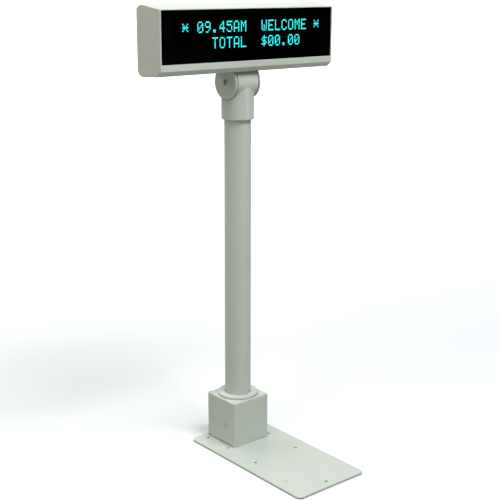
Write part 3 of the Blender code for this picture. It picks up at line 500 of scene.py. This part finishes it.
def makeBox():
    shell = dict(sheet=1.2 * mm, fold=1.9 * mm, foot=0.15 * mm, inner=0.7 * mm, tabInner=12 * mm,
                 tabHalf=19 * mm, poleHole=18.0 * mm, cableHole=6.8 * mm, screwHole=1.8 * mm,
                 relief=1.0 * mm, reliefX=2.3 * mm, reliefY=2.4 * mm, lift=0.9 * mm, liftDeep=4.5 * mm)
    low, high = lowHigh("base_box")
    outer = rectangleLoop(low[0], low[1], high[0], high[1], shell["fold"], 10)
    stations = roundedStations(low[2], high[2], shell["foot"], shell["fold"], 10)
    piece = loopSolid("foldedBox", outer, stations, "Z")
    inset, inner = shell["sheet"], shell["inner"]
    hollow = rectangleLoop(low[0] + inset, low[1] + inset, high[0] - inset, high[1] - inset, inner, 10)
    stations = roundedStations(low[2] - 2 * mm, high[2] - inset, 0, inner, 6)
    inside = loopSolid("inside", hollow, stations, "Z")
    tabs = []
    for side in (-1, 1):
        xs = sorted((side * (high[0] + mm), side * shell["tabInner"]))
        tabs.append(box((xs[0], -shell["tabHalf"], low[2]), (xs[1], shell["tabHalf"], low[2] + inset)))
    combine(inside, tabs)
    cutters = [inside, rod(shell["poleHole"], (0, 0, high[2] - 5 * mm), (0, 0, high[2] + 5 * mm), 96)]
    outletZ = middle("cable_grommet")[2]
    outlet = (0, high[1] - 4 * mm, outletZ), (0, high[1] + 4 * mm, outletZ)
    cutters.append(rod(shell["cableHole"], *outlet, 48))
    for x in (low[0] + shell["reliefX"], high[0] - shell["reliefX"]):
        for y in (low[1] + shell["reliefY"], high[1] - shell["reliefY"]):
            cutters.append(rod(shell["relief"], (x, y, high[2] - 3 * mm), (x, y, high[2] + 2 * mm), 24))
    for index in range(4):
        x, y = middle(f"box_screw_{index + 1}")[:2]
        cutters.append(rod(shell["screwHole"], (x, y, low[2] - mm), (x, y, low[2] + inset + mm), 32))
    # the left wall stops short of the plate
    cutters.append(box((low[0] - mm, low[1] + 1.5 * mm, low[2] - mm),
                       (low[0] + shell["liftDeep"], high[1] - 1.5 * mm, low[2] + shell["lift"])))
    combine(piece, cutters)
    return finishPiece(piece, "base", "putty_paint", ["base_box"])


def makeGrommet():
    ring = dict(lip=8.5 * mm, lipThick=1.4 * mm, groove=6.5 * mm, bore=4.2 * mm, wall=1.8 * mm, turns=72)
    low, high = lowHigh("cable_grommet")
    depth = high[1] - low[1]
    front = ring["lipThick"]
    profile = filletLoop([
        (ring["bore"], 0, 0.5 * mm), (ring["lip"], 0, 0.6 * mm), (ring["lip"], front, 0.2 * mm),
        (ring["groove"], front, 0.1 * mm), (ring["groove"], front + ring["wall"], 0.1 * mm),
        (ring["lip"], front + ring["wall"], 0.2 * mm), (ring["lip"], depth, 0.9 * mm),
        (ring["bore"], depth, 0.6 * mm)], 4)
    centre = ((low + high) / 2 * [1, 0, 1]) + [0, low[1], 0]
    piece = spin("cableGrommet", profile, centre, (0, 1, 0), ring["turns"])
    return finishPiece(piece, "base", "black_rubber", ["cable_grommet"])


# pole and the flange it stands in

def makePole():
    tube = dict(radius=15.0 * mm, bore=13.4 * mm, edge=0.3 * mm, turns=144)
    low, high = lowHigh("pole_tube")
    profile = filletLoop([
        (tube["bore"], low[2], tube["edge"]), (tube["radius"], low[2], tube["edge"]),
        (tube["radius"], high[2], tube["edge"]), (tube["bore"], high[2], tube["edge"])], 3)
    piece = spin("poleTube", profile, (0, 0, 0), (0, 0, 1), tube["turns"])
    finishPiece(piece, "base", "putty_paint", ["pole_tube"])

    ring = dict(radius=23.5 * mm, edge=1.1 * mm, neck=17.6 * mm, bore=15.3 * mm, thick=2.7 * mm,
                grubHole=2.2 * mm, turns=144)
    low, high = lowHigh("pole_flange")
    under = high[2] - ring["thick"]
    profile = filletLoop([
        (ring["bore"], high[2], 0.3 * mm), (ring["radius"], high[2], ring["edge"]),
        (ring["radius"], under, 0.25 * mm), (ring["neck"], under, 0.1 * mm),
        (ring["neck"], low[2], 0.3 * mm), (ring["bore"], low[2], 0.3 * mm)], 6)
    flange = spin("poleFlange", profile, (0, 0, 0), (0, 0, 1), ring["turns"])
    grubZ = middle("pole_grub_screw_1")[2]
    holes = []
    for side in (-1, 1):
        holes.append(rod(ring["grubHole"], (side * 14 * mm, 0, grubZ), (side * 20 * mm, 0, grubZ), 32))
    combine(flange, holes)
    return finishPiece(flange, "base", "putty_paint", ["pole_flange"])


# tee: a sleeve on the pole runs into the hinge barrel across its top, with a soft inside corner between

def makeTee():
    tee = dict(radius=18.1 * mm, barrel=18.5 * mm, half=13.9 * mm, blend=0.9 * mm, edge=1.3 * mm,
               sleeveBore=16.6 * mm, lipBore=15.4 * mm, lipTall=1.5 * mm, barrelBore=16.0 * mm,
               throat=12 * mm, relief=19.2 * mm, slotHalf=8.7 * mm, slotFront=-39.7, slotBack=54.7,
               stopHole=1.9 * mm, stopSink=3.1 * mm)
    bottom = lowHigh("tee_housing")[0][2]
    edge, radius, barrel = tee["edge"], tee["radius"], tee["barrel"]
    turn = np.linspace(0, np.pi / 2, 9)
    z = np.concatenate([
        bottom + edge * (1 - np.cos(turn)), np.linspace(bottom + edge, hingeZ - 20 * mm, 8)[1:],
        np.linspace(hingeZ - 20 * mm, hingeZ, 81)[1:]])
    sleeve = np.full(len(z), radius)
    sleeve[:9] = radius - edge * (1 - np.sin(turn))
    psi = np.radians(np.linspace(-90, 90, 121))[:, None]
    x = sleeve * np.sin(psi)
    # the wall is the smooth maximum of a, the sleeve's sqrt(r^2 - x^2), and b, the barrel's
    # sqrt(R^2 - (z - hinge)^2): max(a, b) + h^2 k / 4, where h = max(k - |a - b|, 0) / k
    a = np.clip(sleeve * np.cos(psi), 0, None)
    b = np.sqrt(np.clip(barrel ** 2 - (z - hingeZ) ** 2, 0, None))
    blend = tee["blend"] * np.clip(a / (4 * mm), 1e-6, 1)
    h = np.clip(blend - np.abs(a - b), 0, None) / blend
    y = np.maximum(a, b) + h * h * blend / 4
    front = np.stack([x, -y, np.broadcast_to(z, y.shape)], -1)
    # over the top the section is the barrel's circle; what the blend adds fades as (1 - (t / 0.35)^2)^2
    arc = np.linspace(0, np.pi, 98)[1:-1]
    away = np.minimum(arc, np.pi - arc)
    fade = np.clip(1 - (away / 0.35) ** 2, 0, None) ** 2
    reach = barrel + (y[:, -1:] - barrel) * fade
    across = np.broadcast_to(x[:, -1:], reach.shape)
    over = np.stack([across, -reach * np.cos(arc), hingeZ + reach * np.sin(arc)], -1)
    rear = front[:, ::-1] * [1, -1, 1]
    points = np.concatenate([front, over, rear], 1)
    rows, columns = points.shape[:2]
    faces = gridFaces(rows, columns, wrapColumns=True)
    j = np.arange(columns // 2 - 1)
    closing = np.stack([j, j + 1, columns - 2 - j, columns - 1 - j], -1)
    faces += closing.tolist() + (closing + (rows - 1) * columns).tolist()
    piece = addPiece("teeHousing", points, faces)

    plugTop = lowHigh("pole_plug")[1][2]
    shoulder = plugTop + 1.5 * mm
    throat, lip = tee["throat"], bottom + tee["lipTall"]
    bore = [(0, hingeZ - 4 * mm), (throat, hingeZ - 4 * mm), (throat, shoulder),
            (tee["sleeveBore"], shoulder), (tee["sleeveBore"], lip), (tee["lipBore"], lip),
            (tee["lipBore"], bottom - 3 * mm), (0, bottom - 3 * mm)]
    cutters = [spin("bore", bore, (0, 0, 0), (0, 0, 1), 120, False),
               rod(tee["barrelBore"], (-19 * mm, 0, hingeZ), (19 * mm, 0, hingeZ), 120)]
    for side in (-1, 1):
        cutters.append(rod(tee["relief"], (side * tee["half"], 0, hingeZ), (side * 22 * mm, 0, hingeZ), 160))
    slot = np.radians(np.linspace(tee["slotFront"], tee["slotBack"], 40))
    arms = [np.stack([r * np.sin(slot), hingeZ + r * np.cos(slot)], -1) for r in (12 * mm, 24 * mm)]
    sector = np.concatenate([arms[1], arms[0][::-1]])
    half = tee["slotHalf"]
    cutters.append(loopSolid("slot", sector, [(0, -half), (0, half)], "X"))
    stopZ = middle("swivel_stop_screw")[2]
    cutters.append(rod(tee["stopHole"], (0, 10 * mm, stopZ), (0, 25 * mm, stopZ), 40))
    cutters.append(rod(tee["stopSink"], (0, radius - 0.7 * mm, stopZ), (0, 25 * mm, stopZ), 48))
    combine(piece, cutters)
    return finishPiece(piece, "swivel", "putty_plastic", ["tee_housing"])


# hinge caps: round discs with a soft rim, a narrow groove behind and a sunk bolt; the right holds the nut

def makeCaps():
    cap = dict(radius=18.8 * mm, edge=0.9 * mm, flange=2.4 * mm, step=17.4 * mm, bore=15.7 * mm,
               well=3.45 * mm, seat=4.2 * mm, dish=0.25 * mm, dishRadius=15.6 * mm, rimRadius=16.6 * mm,
               hub=8.5 * mm, hubEnd=8.9 * mm, boltHole=2.3 * mm, nut=4.3 * mm, barrelEnd=13.9 * mm,
               turns=144)
    sides = (-1, "hingeCapLeft", "hinge_cap_left"), (1, "hingeCapRight", "hinge_cap_right")
    for side, name, node in sides:
        low, high = lowHigh(node)
        face = max(abs(low[0]), abs(high[0]))
        seat, back, barrelEnd = face - cap["seat"], face - cap["flange"], cap["barrelEnd"]
        profile = filletLoop([
            (cap["well"], face - cap["dish"], 0.3 * mm), (cap["dishRadius"], face - cap["dish"], 1.2 * mm),
            (cap["rimRadius"], face, 1.2 * mm), (cap["radius"], face, cap["edge"]),
            (cap["radius"], back, 0.3 * mm), (cap["step"], back, 0.1 * mm),
            (cap["step"], barrelEnd + 0.3 * mm, 0.1 * mm), (cap["bore"], barrelEnd + 0.3 * mm, 0.1 * mm),
            (cap["bore"], barrelEnd - 2 * mm, 0.3 * mm), (cap["hub"], barrelEnd - 2 * mm, 0.3 * mm),
            (cap["hub"], cap["hubEnd"], 0.1 * mm), (cap["boltHole"], cap["hubEnd"], 0.1 * mm),
            (cap["boltHole"], seat, 0.1 * mm), (cap["well"], seat, 0.1 * mm)], 5)
        piece = spin(name, profile, (0, 0, hingeZ), (side, 0, 0), cap["turns"])
        if side > 0:
            angle = np.radians(np.arange(6) * 60)
            hexagon = np.stack([cap["nut"] * np.cos(angle), hingeZ + cap["nut"] * np.sin(angle)], -1)
            combine(piece, [loopSolid("nutWell", hexagon, [(0, seat), (0, face + 2 * mm)], "X")])
        finishPiece(piece, "swivel", "putty_plastic", [node])


# screws whose heads show, each with a cross pressed into it

def crossCutter(centre, direction, arm, width, depth):
    # a plus-shaped outline that narrows to its floor
    w, a = width / 2, arm
    outer, inner = w * 0.5, w * 0.4
    outline = filletLoop([
        (a, -w, outer), (a, w, outer), (w, w, inner), (w, a, outer), (-w, a, outer), (-w, w, inner),
        (-a, w, outer), (-a, -w, outer), (-w, -w, inner), (-w, -a, outer), (w, -a, outer),
        (w, -w, inner)], 3)
    shrink = np.linspace(1, 0.45, 4)[:, None, None]
    rings = outline[None] * shrink
    levels = np.linspace(0.3 * depth, -depth, 4)[:, None, None]
    height = np.broadcast_to(levels, rings.shape[:2] + (1,))
    turn = Vector((0, 0, 1)).rotation_difference(Vector(direction)).to_matrix()
    points = np.concatenate([rings, height], -1) @ np.array(turn).T + np.asarray(centre)
    count = len(outline)
    faces = gridFaces(4, count, wrapColumns=True) + [list(range(count)), list(range(3 * count, 4 * count))]
    return addPiece("cross", points, faces)


def makeScrew(name, node, body, direction, look):
    # head with a domed top, h = crown (1 - (r / head)^2), above a plain shank
    low, high = lowHigh(node)
    axis = np.abs(np.array(direction))
    start = (low + high) / 2 * (1 - axis) + np.where(np.array(direction) > 0, high, low) * axis
    head, tall, crown = look["head"], look["tall"], look["crown"]
    length = ((high - low) * axis).sum()
    r = np.linspace(0, head * 0.93, 10)
    dome = np.stack([r, -crown * (r / head) ** 2], -1)
    shank = look["shank"]
    rest = [(head, -crown - 0.1 * mm), (head, -tall), (shank, -tall), (shank, look["tip"] - length),
            (shank * 0.4, -length), (0, -length)]
    piece = spin(name, np.concatenate([dome, rest]), start, direction, 48, False)
    combine(piece, [crossCutter(start, direction, head * 0.58, head * 0.26, look["deep"])])
    return finishPiece(piece, body, "zinc_steel", [node])


def makeScrews():
    cover = dict(head=2.3 * mm, tall=0.95 * mm, crown=0.3 * mm, shank=1.1 * mm, tip=0.8 * mm, deep=0.6 * mm)
    for index in range(4):
        makeScrew(f"coverScrew{index + 1}", f"cover_screw_{index + 1}", "head", (0, 1, 0), cover)
    stop = dict(head=2.8 * mm, tall=1.0 * mm, crown=0.3 * mm, shank=1.5 * mm, tip=0.6 * mm, deep=0.7 * mm)
    makeScrew("stopScrew", "swivel_stop_screw", "swivel", (0, 1, 0), stop)
    bolt = dict(head=3.1 * mm, tall=3.4 * mm, crown=0.7 * mm, shank=2.0 * mm, tip=0.6 * mm, deep=1.6 * mm)
    makeScrew("tiltBolt", "tilt_bolt", "swivel", (-1, 0, 0), bolt)


# display case: one long moulding, open at the front for the filter and at the back for its cover

# the case's section: y, z, corner radius, and how y and z move for each unit of inset
caseSection = ((-24.0, 436.9, 1.0, 1, 0.5), (-24.0, 498.7, 1.7, 1, -1), (9.5, 503.2, 8.0, 0, -1),
               (17.7, 499.6, 3.5, -1, -0.6), (17.7, 429.9, 8.0, -1, 1), (-17.5, 431.6, 5.0, 0.4, 1))


def caseLoop(inset=0.0, steps=12):
    corners = []
    for y, z, radius, dy, dz in caseSection:
        corners.append((y * mm + dy * inset, z * mm + dz * inset, max(0.8 * mm, radius * mm - inset)))
    return filletLoop(corners, steps)


def makeCase():
    case = dict(edge=1.15 * mm, wall=2.4 * mm, cavityHalf=115.9 * mm, cavityFront=-18.5 * mm,
                cavityBack=13.0 * mm, ledge=-20.1 * mm, pocket=19.6 * mm, pocketHalf=18.3 * mm,
                gap=0.25 * mm, bottom=0.42, top=0.51, boss=2.7 * mm, pilot=1.4 * mm,
                bracketBoss=4.2 * mm, bracketPilot=1.7 * mm, rebateGap=0.3 * mm)
    bottom, top = case["bottom"], case["top"]
    low, high = lowHigh("head_housing")
    stations = roundedStations(low[0], high[0], case["edge"], case["edge"], 8)
    piece = loopSolid("displayCase", caseLoop(), stations, "X")
    hollow = caseLoop(case["wall"])
    cavity = loopSolid("cavity", hollow, [(0, -case["cavityHalf"]), (0, case["cavityHalf"])], "X")
    wide, saddle, saddleHalf = 130 * mm, case["pocket"] + 1.8 * mm, case["pocketHalf"] + 1.8 * mm
    keep = [box((-wide, -30 * mm, bottom), (wide, case["cavityFront"], top)),
            box((-wide, case["cavityBack"], bottom), (wide, 30 * mm, top)),
            rod(saddle, (-saddleHalf, 0, hingeZ), (saddleHalf, 0, hingeZ), 120)]
    boardFront = lowHigh("display_board")[0][1]
    pilots = []
    for index in range(4):
        x, _, z = middle(f"board_screw_{index + 1}")
        keep.append(rod(case["boss"], (x, -22 * mm, z), (x, boardFront - 0.3 * mm, z), 32))
        pilots.append(rod(case["pilot"], (x, -10 * mm, z), (x, boardFront + mm, z), 24))
        x, _, z = middle(f"cover_screw_{index + 1}")
        keep.append(rod(case["boss"], (x, 3 * mm, z), (x, 16 * mm, z), 32))
        pilots.append(rod(case["pilot"], (x, 5 * mm, z), (x, high[1] + mm, z), 24))
    seat = lowHigh("tilt_bracket")[1][2] - 2.1 * mm
    for index in range(2):
        x = middle(f"bracket_screw_{index + 1}")[0]
        keep.append(rod(case["bracketBoss"], (x, 0, 0.425), (x, 0, seat), 40))
        pilots.append(rod(case["bracketPilot"], (x, 0, 0.433), (x, 0, seat + mm), 24))
    combine(cavity, keep)

    windowLow, windowHigh = lowHigh("filter_window")
    gap = case["gap"]
    recess = rectangleLoop(windowLow[0] - gap, windowLow[2] - gap, windowHigh[0] + gap,
                           windowHigh[2] + gap, 1.2 * mm, 8)
    # the recess opens by a small chamfer at the case's face
    face = low[1]
    stations = [(0, case["ledge"]), (0, face + 0.35 * mm), (-0.35 * mm, face), (-0.35 * mm, face - 5 * mm)]
    opening = rectangleLoop(-0.1, 0.4478, 0.1, 0.4933, 2 * mm, 8)
    coverLow, coverHigh = lowHigh("rear_cover")
    loose = case["rebateGap"]
    rebate = rectangleLoop(coverLow[0] - loose, coverLow[2] - loose, coverHigh[0] + loose,
                           coverHigh[2] + loose, 3 * mm, 8)
    behind = rectangleLoop(-0.1075, 0.4436, 0.1075, 0.4916, 3 * mm, 8)
    cutters = [
        cavity, loopSolid("recess", recess, stations, "Y"),
        loopSolid("opening", opening, [(0, case["ledge"] - mm), (0, case["cavityFront"] + mm)], "Y"),
        loopSolid("rebate", rebate, [(0, coverLow[1] - loose), (0, high[1] + 5 * mm)], "Y"),
        loopSolid("behind", behind, [(0, case["cavityBack"] - mm), (0, high[1] + mm)], "Y"),
        rod(case["pocket"], (-case["pocketHalf"], 0, hingeZ), (case["pocketHalf"], 0, hingeZ), 120),
        box((-9.2 * mm, -6.5 * mm, 0.432), (9.2 * mm, 6.5 * mm, 0.446))] + pilots
    combine(piece, cutters)
    return finishPiece(piece, "head", "putty_plastic", ["head_housing"])


def makeCover():
    cover = dict(corner=2.7 * mm, edge=0.4 * mm, vents=10, pitch=6.5 * mm, ventHalf=1.2 * mm,
                 ventLow=474 * mm, ventHigh=488 * mm, screwHole=1.6 * mm, screwSink=2.7 * mm)
    low, high = lowHigh("rear_cover")
    outline = rectangleLoop(low[0], low[2], high[0], high[2], cover["corner"], 8)
    stations = roundedStations(low[1], high[1], 0.2 * mm, cover["edge"], 4)
    piece = loopSolid("rearCover", outline, stations, "Y")
    cutters = []
    for index in range(4):
        x, _, z = middle(f"cover_screw_{index + 1}")
        cutters.append(rod(cover["screwHole"], (x, 10 * mm, z), (x, 22 * mm, z), 32))
        cutters.append(rod(cover["screwSink"], (x, high[1] - 1.3 * mm, z), (x, high[1] + 3 * mm, z), 40))
    for index in range(cover["vents"]):
        x = (index - (cover["vents"] - 1) / 2) * cover["pitch"]
        left, right = x - cover["ventHalf"], x + cover["ventHalf"]
        vent = rectangleLoop(left, cover["ventLow"], right, cover["ventHigh"], 1.15 * mm, 6)
        stations = [(0, low[1] - mm), (0, high[1] - 0.3 * mm), (-0.6 * mm, high[1] + 0.3 * mm)]
        cutters.append(loopSolid("vent", vent, stations, "Y"))
    combine(piece, cutters)
    return finishPiece(piece, "head", "putty_plastic", ["rear_cover"])


def makeWindow():
    pane = dict(corner=1.0 * mm, edge=0.25 * mm)
    low, high = lowHigh("filter_window")
    outline = rectangleLoop(low[0], low[2], high[0], high[2], pane["corner"], 8)
    stations = roundedStations(low[1], high[1], pane["edge"], pane["edge"], 4)
    piece = loopSolid("filterWindow", outline, stations, "Y")
    return finishPiece(piece, "head", "smoked_filter", ["filter_window"])


# lit characters: two lines of twenty, five by seven dots each; a glyph is five columns, lowest bit on top

def makeCharacters():
    text = dict(pitch=9.49 * mm, firstLeft=-90.2 * mm, tops=(485.5 * mm, 469.3 * mm), dotWide=1.12 * mm,
                dotTall=1.30 * mm, stepX=1.50 * mm, stepZ=1.645 * mm, behind=0.25 * mm, thick=0.1 * mm,
                lines=("* 09.45AM  WELCOME *", "    TOTAL  $00.00   "))
    glyphs = {
        "*": (0x2A, 0x1C, 0x08, 0x1C, 0x2A), "0": (0x3E, 0x51, 0x49, 0x45, 0x3E),
        "9": (0x06, 0x49, 0x49, 0x29, 0x1E), ".": (0x00, 0x60, 0x60, 0x00, 0x00),
        "4": (0x18, 0x14, 0x12, 0x7F, 0x10), "5": (0x27, 0x45, 0x45, 0x45, 0x39),
        "A": (0x7E, 0x11, 0x11, 0x11, 0x7E), "M": (0x7F, 0x02, 0x0C, 0x02, 0x7F),
        "W": (0x3F, 0x40, 0x38, 0x40, 0x3F), "E": (0x7F, 0x49, 0x49, 0x49, 0x41),
        "L": (0x7F, 0x40, 0x40, 0x40, 0x40), "C": (0x3E, 0x41, 0x41, 0x41, 0x22),
        "O": (0x3E, 0x41, 0x41, 0x41, 0x3E), "T": (0x01, 0x01, 0x7F, 0x01, 0x01),
        "$": (0x24, 0x2A, 0x7F, 0x2A, 0x12), " ": (0, 0, 0, 0, 0),
    }
    lit = np.array([[glyphs[letter] for letter in line] for line in text["lines"]])
    line, place, column, row = np.nonzero(lit[..., None] >> np.arange(7) & 1)
    tops = np.array(text["tops"])
    x = text["firstLeft"] + place * text["pitch"] + column * text["stepX"] + text["dotWide"] / 2
    z = tops[line] - row * text["stepZ"] - text["dotTall"] / 2
    front = lowHigh("filter_window")[0][1] + text["behind"]
    # a dot is an eight-sided slab
    w, t, c = text["dotWide"] / 2, text["dotTall"] / 2, 0.25 * mm
    outline = np.array([(-w, c - t), (c - w, -t), (w - c, -t), (w, c - t),
                        (w, t - c), (w - c, t), (c - w, t), (-w, t - c)])
    flat = np.stack([x, z], -1)[:, None] + outline
    layers = [np.insert(flat, 1, front + depth, axis=-1) for depth in (0, text["thick"])]
    points = np.stack(layers, 1)
    ring = gridFaces(2, 8, wrapColumns=True)
    offset = np.arange(len(x))[:, None, None] * 16
    sides = (np.array(ring)[None] + offset).reshape(-1, 4).tolist()
    ends = (np.arange(16).reshape(2, 8)[None] + offset).reshape(-1, 8).tolist()
    piece = addPiece("litCharacters", points, sides + ends, 1e-7)
    piece.data.materials.append(finishes["lit_dots"])
    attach(piece, "head")
    return piece


makePlate()
makeBox()
makeGrommet()
makePole()
makeTee()
makeCaps()
makeScrews()
print("base, pole and hinge made")
makeCase()
makeCover()
makeWindow()
makeCharacters()
print("display head made")


# room: a pale floor that curves up behind the display, soft lights and the camera

def makeRoom():
    room = dict(colour=(0.88, 0.89, 0.88), bounce=(0.36, 0.36, 0.33), near=-2.5, below=0.5 * mm, bend=1.4,
                radius=1.2, top=3.2, half=4.0, turn=-39.77)
    t = np.linspace(0, np.pi / 2, 40)
    bend, radius = room["bend"], room["radius"]
    run = np.concatenate([[room["near"]], bend + radius * np.sin(t), [bend + radius]])
    rise = np.concatenate([[0.0], radius * (1 - np.cos(t)), [room["top"]]]) - room["below"]
    width = np.linspace(-room["half"], room["half"], 9)[:, None]
    turn = math.radians(room["turn"])
    # the sweep's section (run, rise) is carried across and turned to face the camera
    x = width * math.cos(turn) - run * math.sin(turn)
    y = width * math.sin(turn) + run * math.cos(turn)
    points = np.stack([x, y, np.broadcast_to(rise, x.shape)], -1)
    floor = addPiece("floor", points, gridFaces(*x.shape))
    floor.data.shade_smooth()
    made, tree, shader = newFinish("pale_floor")
    place = addNode(tree, "TexCoord").outputs["Object"]
    cloud = addNode(tree, "TexNoise", {"Vector": place, "Scale": 3.0, "Detail": 4.0})
    pale = colourMix(tree, cloud.outputs["Fac"], room["colour"], (0.90, 0.905, 0.90))
    # seen directly it is near white; what it sends back up to the object is less
    seen = addNode(tree, "LightPath").outputs["Is Camera Ray"]
    tree.links.new(colourMix(tree, seen, room["bounce"], pale), shader.inputs["Base Color"])
    shader.inputs["Roughness"].default_value = 0.7
    floor.data.materials.append(made)
    floor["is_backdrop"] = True


def makeLight(name, power, size, place, target, colour=(1, 1, 1), sizeY=None):
    light = bpy.data.lights.new(name, "AREA")
    light.energy = power
    light.color = colour
    light.shape = "RECTANGLE"
    light.size = size
    light.size_y = sizeY or size
    lamp = bpy.data.objects.new(name, light)
    bpy.context.scene.collection.objects.link(lamp)
    lamp.location = place
    lamp.rotation_euler = (Vector(target) - Vector(place)).to_track_quat("-Z", "Y").to_euler()
    lamp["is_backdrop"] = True


def makeCamera():
    view = dict(lens=73.945, place=(-0.7112182, -0.8763173, 0.5257726), azimuth=-39.769,
                elevation=14.688, roll=0.1349)
    a, e, r = (math.radians(view[key]) for key in ("azimuth", "elevation", "roll"))
    back = Vector((math.sin(a) * math.cos(e), -math.cos(a) * math.cos(e), math.sin(e)))
    right = (-back).cross(Vector((0, 0, 1))).normalized()
    up = right.cross(-back).normalized()
    acrossRolled = math.cos(r) * right + math.sin(r) * up
    upRolled = -math.sin(r) * right + math.cos(r) * up
    lens = bpy.data.cameras.new("camera")
    lens.lens = view["lens"]
    lens.sensor_width = 36.0
    lens.clip_start = 0.01
    camera = bpy.data.objects.new("camera", lens)
    bpy.context.scene.collection.objects.link(camera)
    turned = Matrix((acrossRolled, upRolled, back)).transposed()
    camera.matrix_world = Matrix.Translation(view["place"]) @ turned.to_4x4()
    bpy.context.scene.camera = camera


makeRoom()
makeLight("overhead", 1.9, 1.1, (0.0, -0.1, 1.9), (0, 0, 0.3), (0.6, 0.85, 1.0))
makeLight("front top", 31.5, 1.0, (0.2, -0.9, 1.8), (0, 0, 0.3), (0.905, 0.963, 1.0), 0.6)
makeLight("left top", 6.1, 0.9, (-1.4, -0.3, 1.5), (0, 0, 0.3), (1.0, 1.0, 0.98), 0.7)
makeLight("left", 5.9, 1.2, (-1.7, -0.4, 0.9), (0, 0, 0.3), (1.0, 0.95, 0.86), 1.4)
makeLight("low strip", 1.3, 0.13, (0.80, -1.25, 0.17), (0, 0, 0.3), (0.93, 0.98, 1.0), 0.30)
makeLight("back top", 21.0, 1.7, (-0.5, 1.2, 1.7), (0, 0, 0.35), (0.975, 0.995, 1.0), 1.2)
makeLight("backdrop", 75.0, 2.4, (0.9, 1.1, 1.9), (2.2, 2.7, 0.7), (1.0, 1.0, 1.0), 1.2)
world = bpy.data.worlds.new("studio")
world.use_nodes = True
world.node_tree.nodes["Background"].inputs["Color"].default_value = (0.93, 0.95, 0.95, 1.0)
world.node_tree.nodes["Background"].inputs["Strength"].default_value = 0.03
bpy.context.scene.world = world
bpy.context.scene.view_settings.view_transform = "Standard"
makeCamera()

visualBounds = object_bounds()
sizes = [[list(map(float, corner)) for corner in pair] for pair in (cadBounds, visualBounds)]
print("bounds:", sizes)
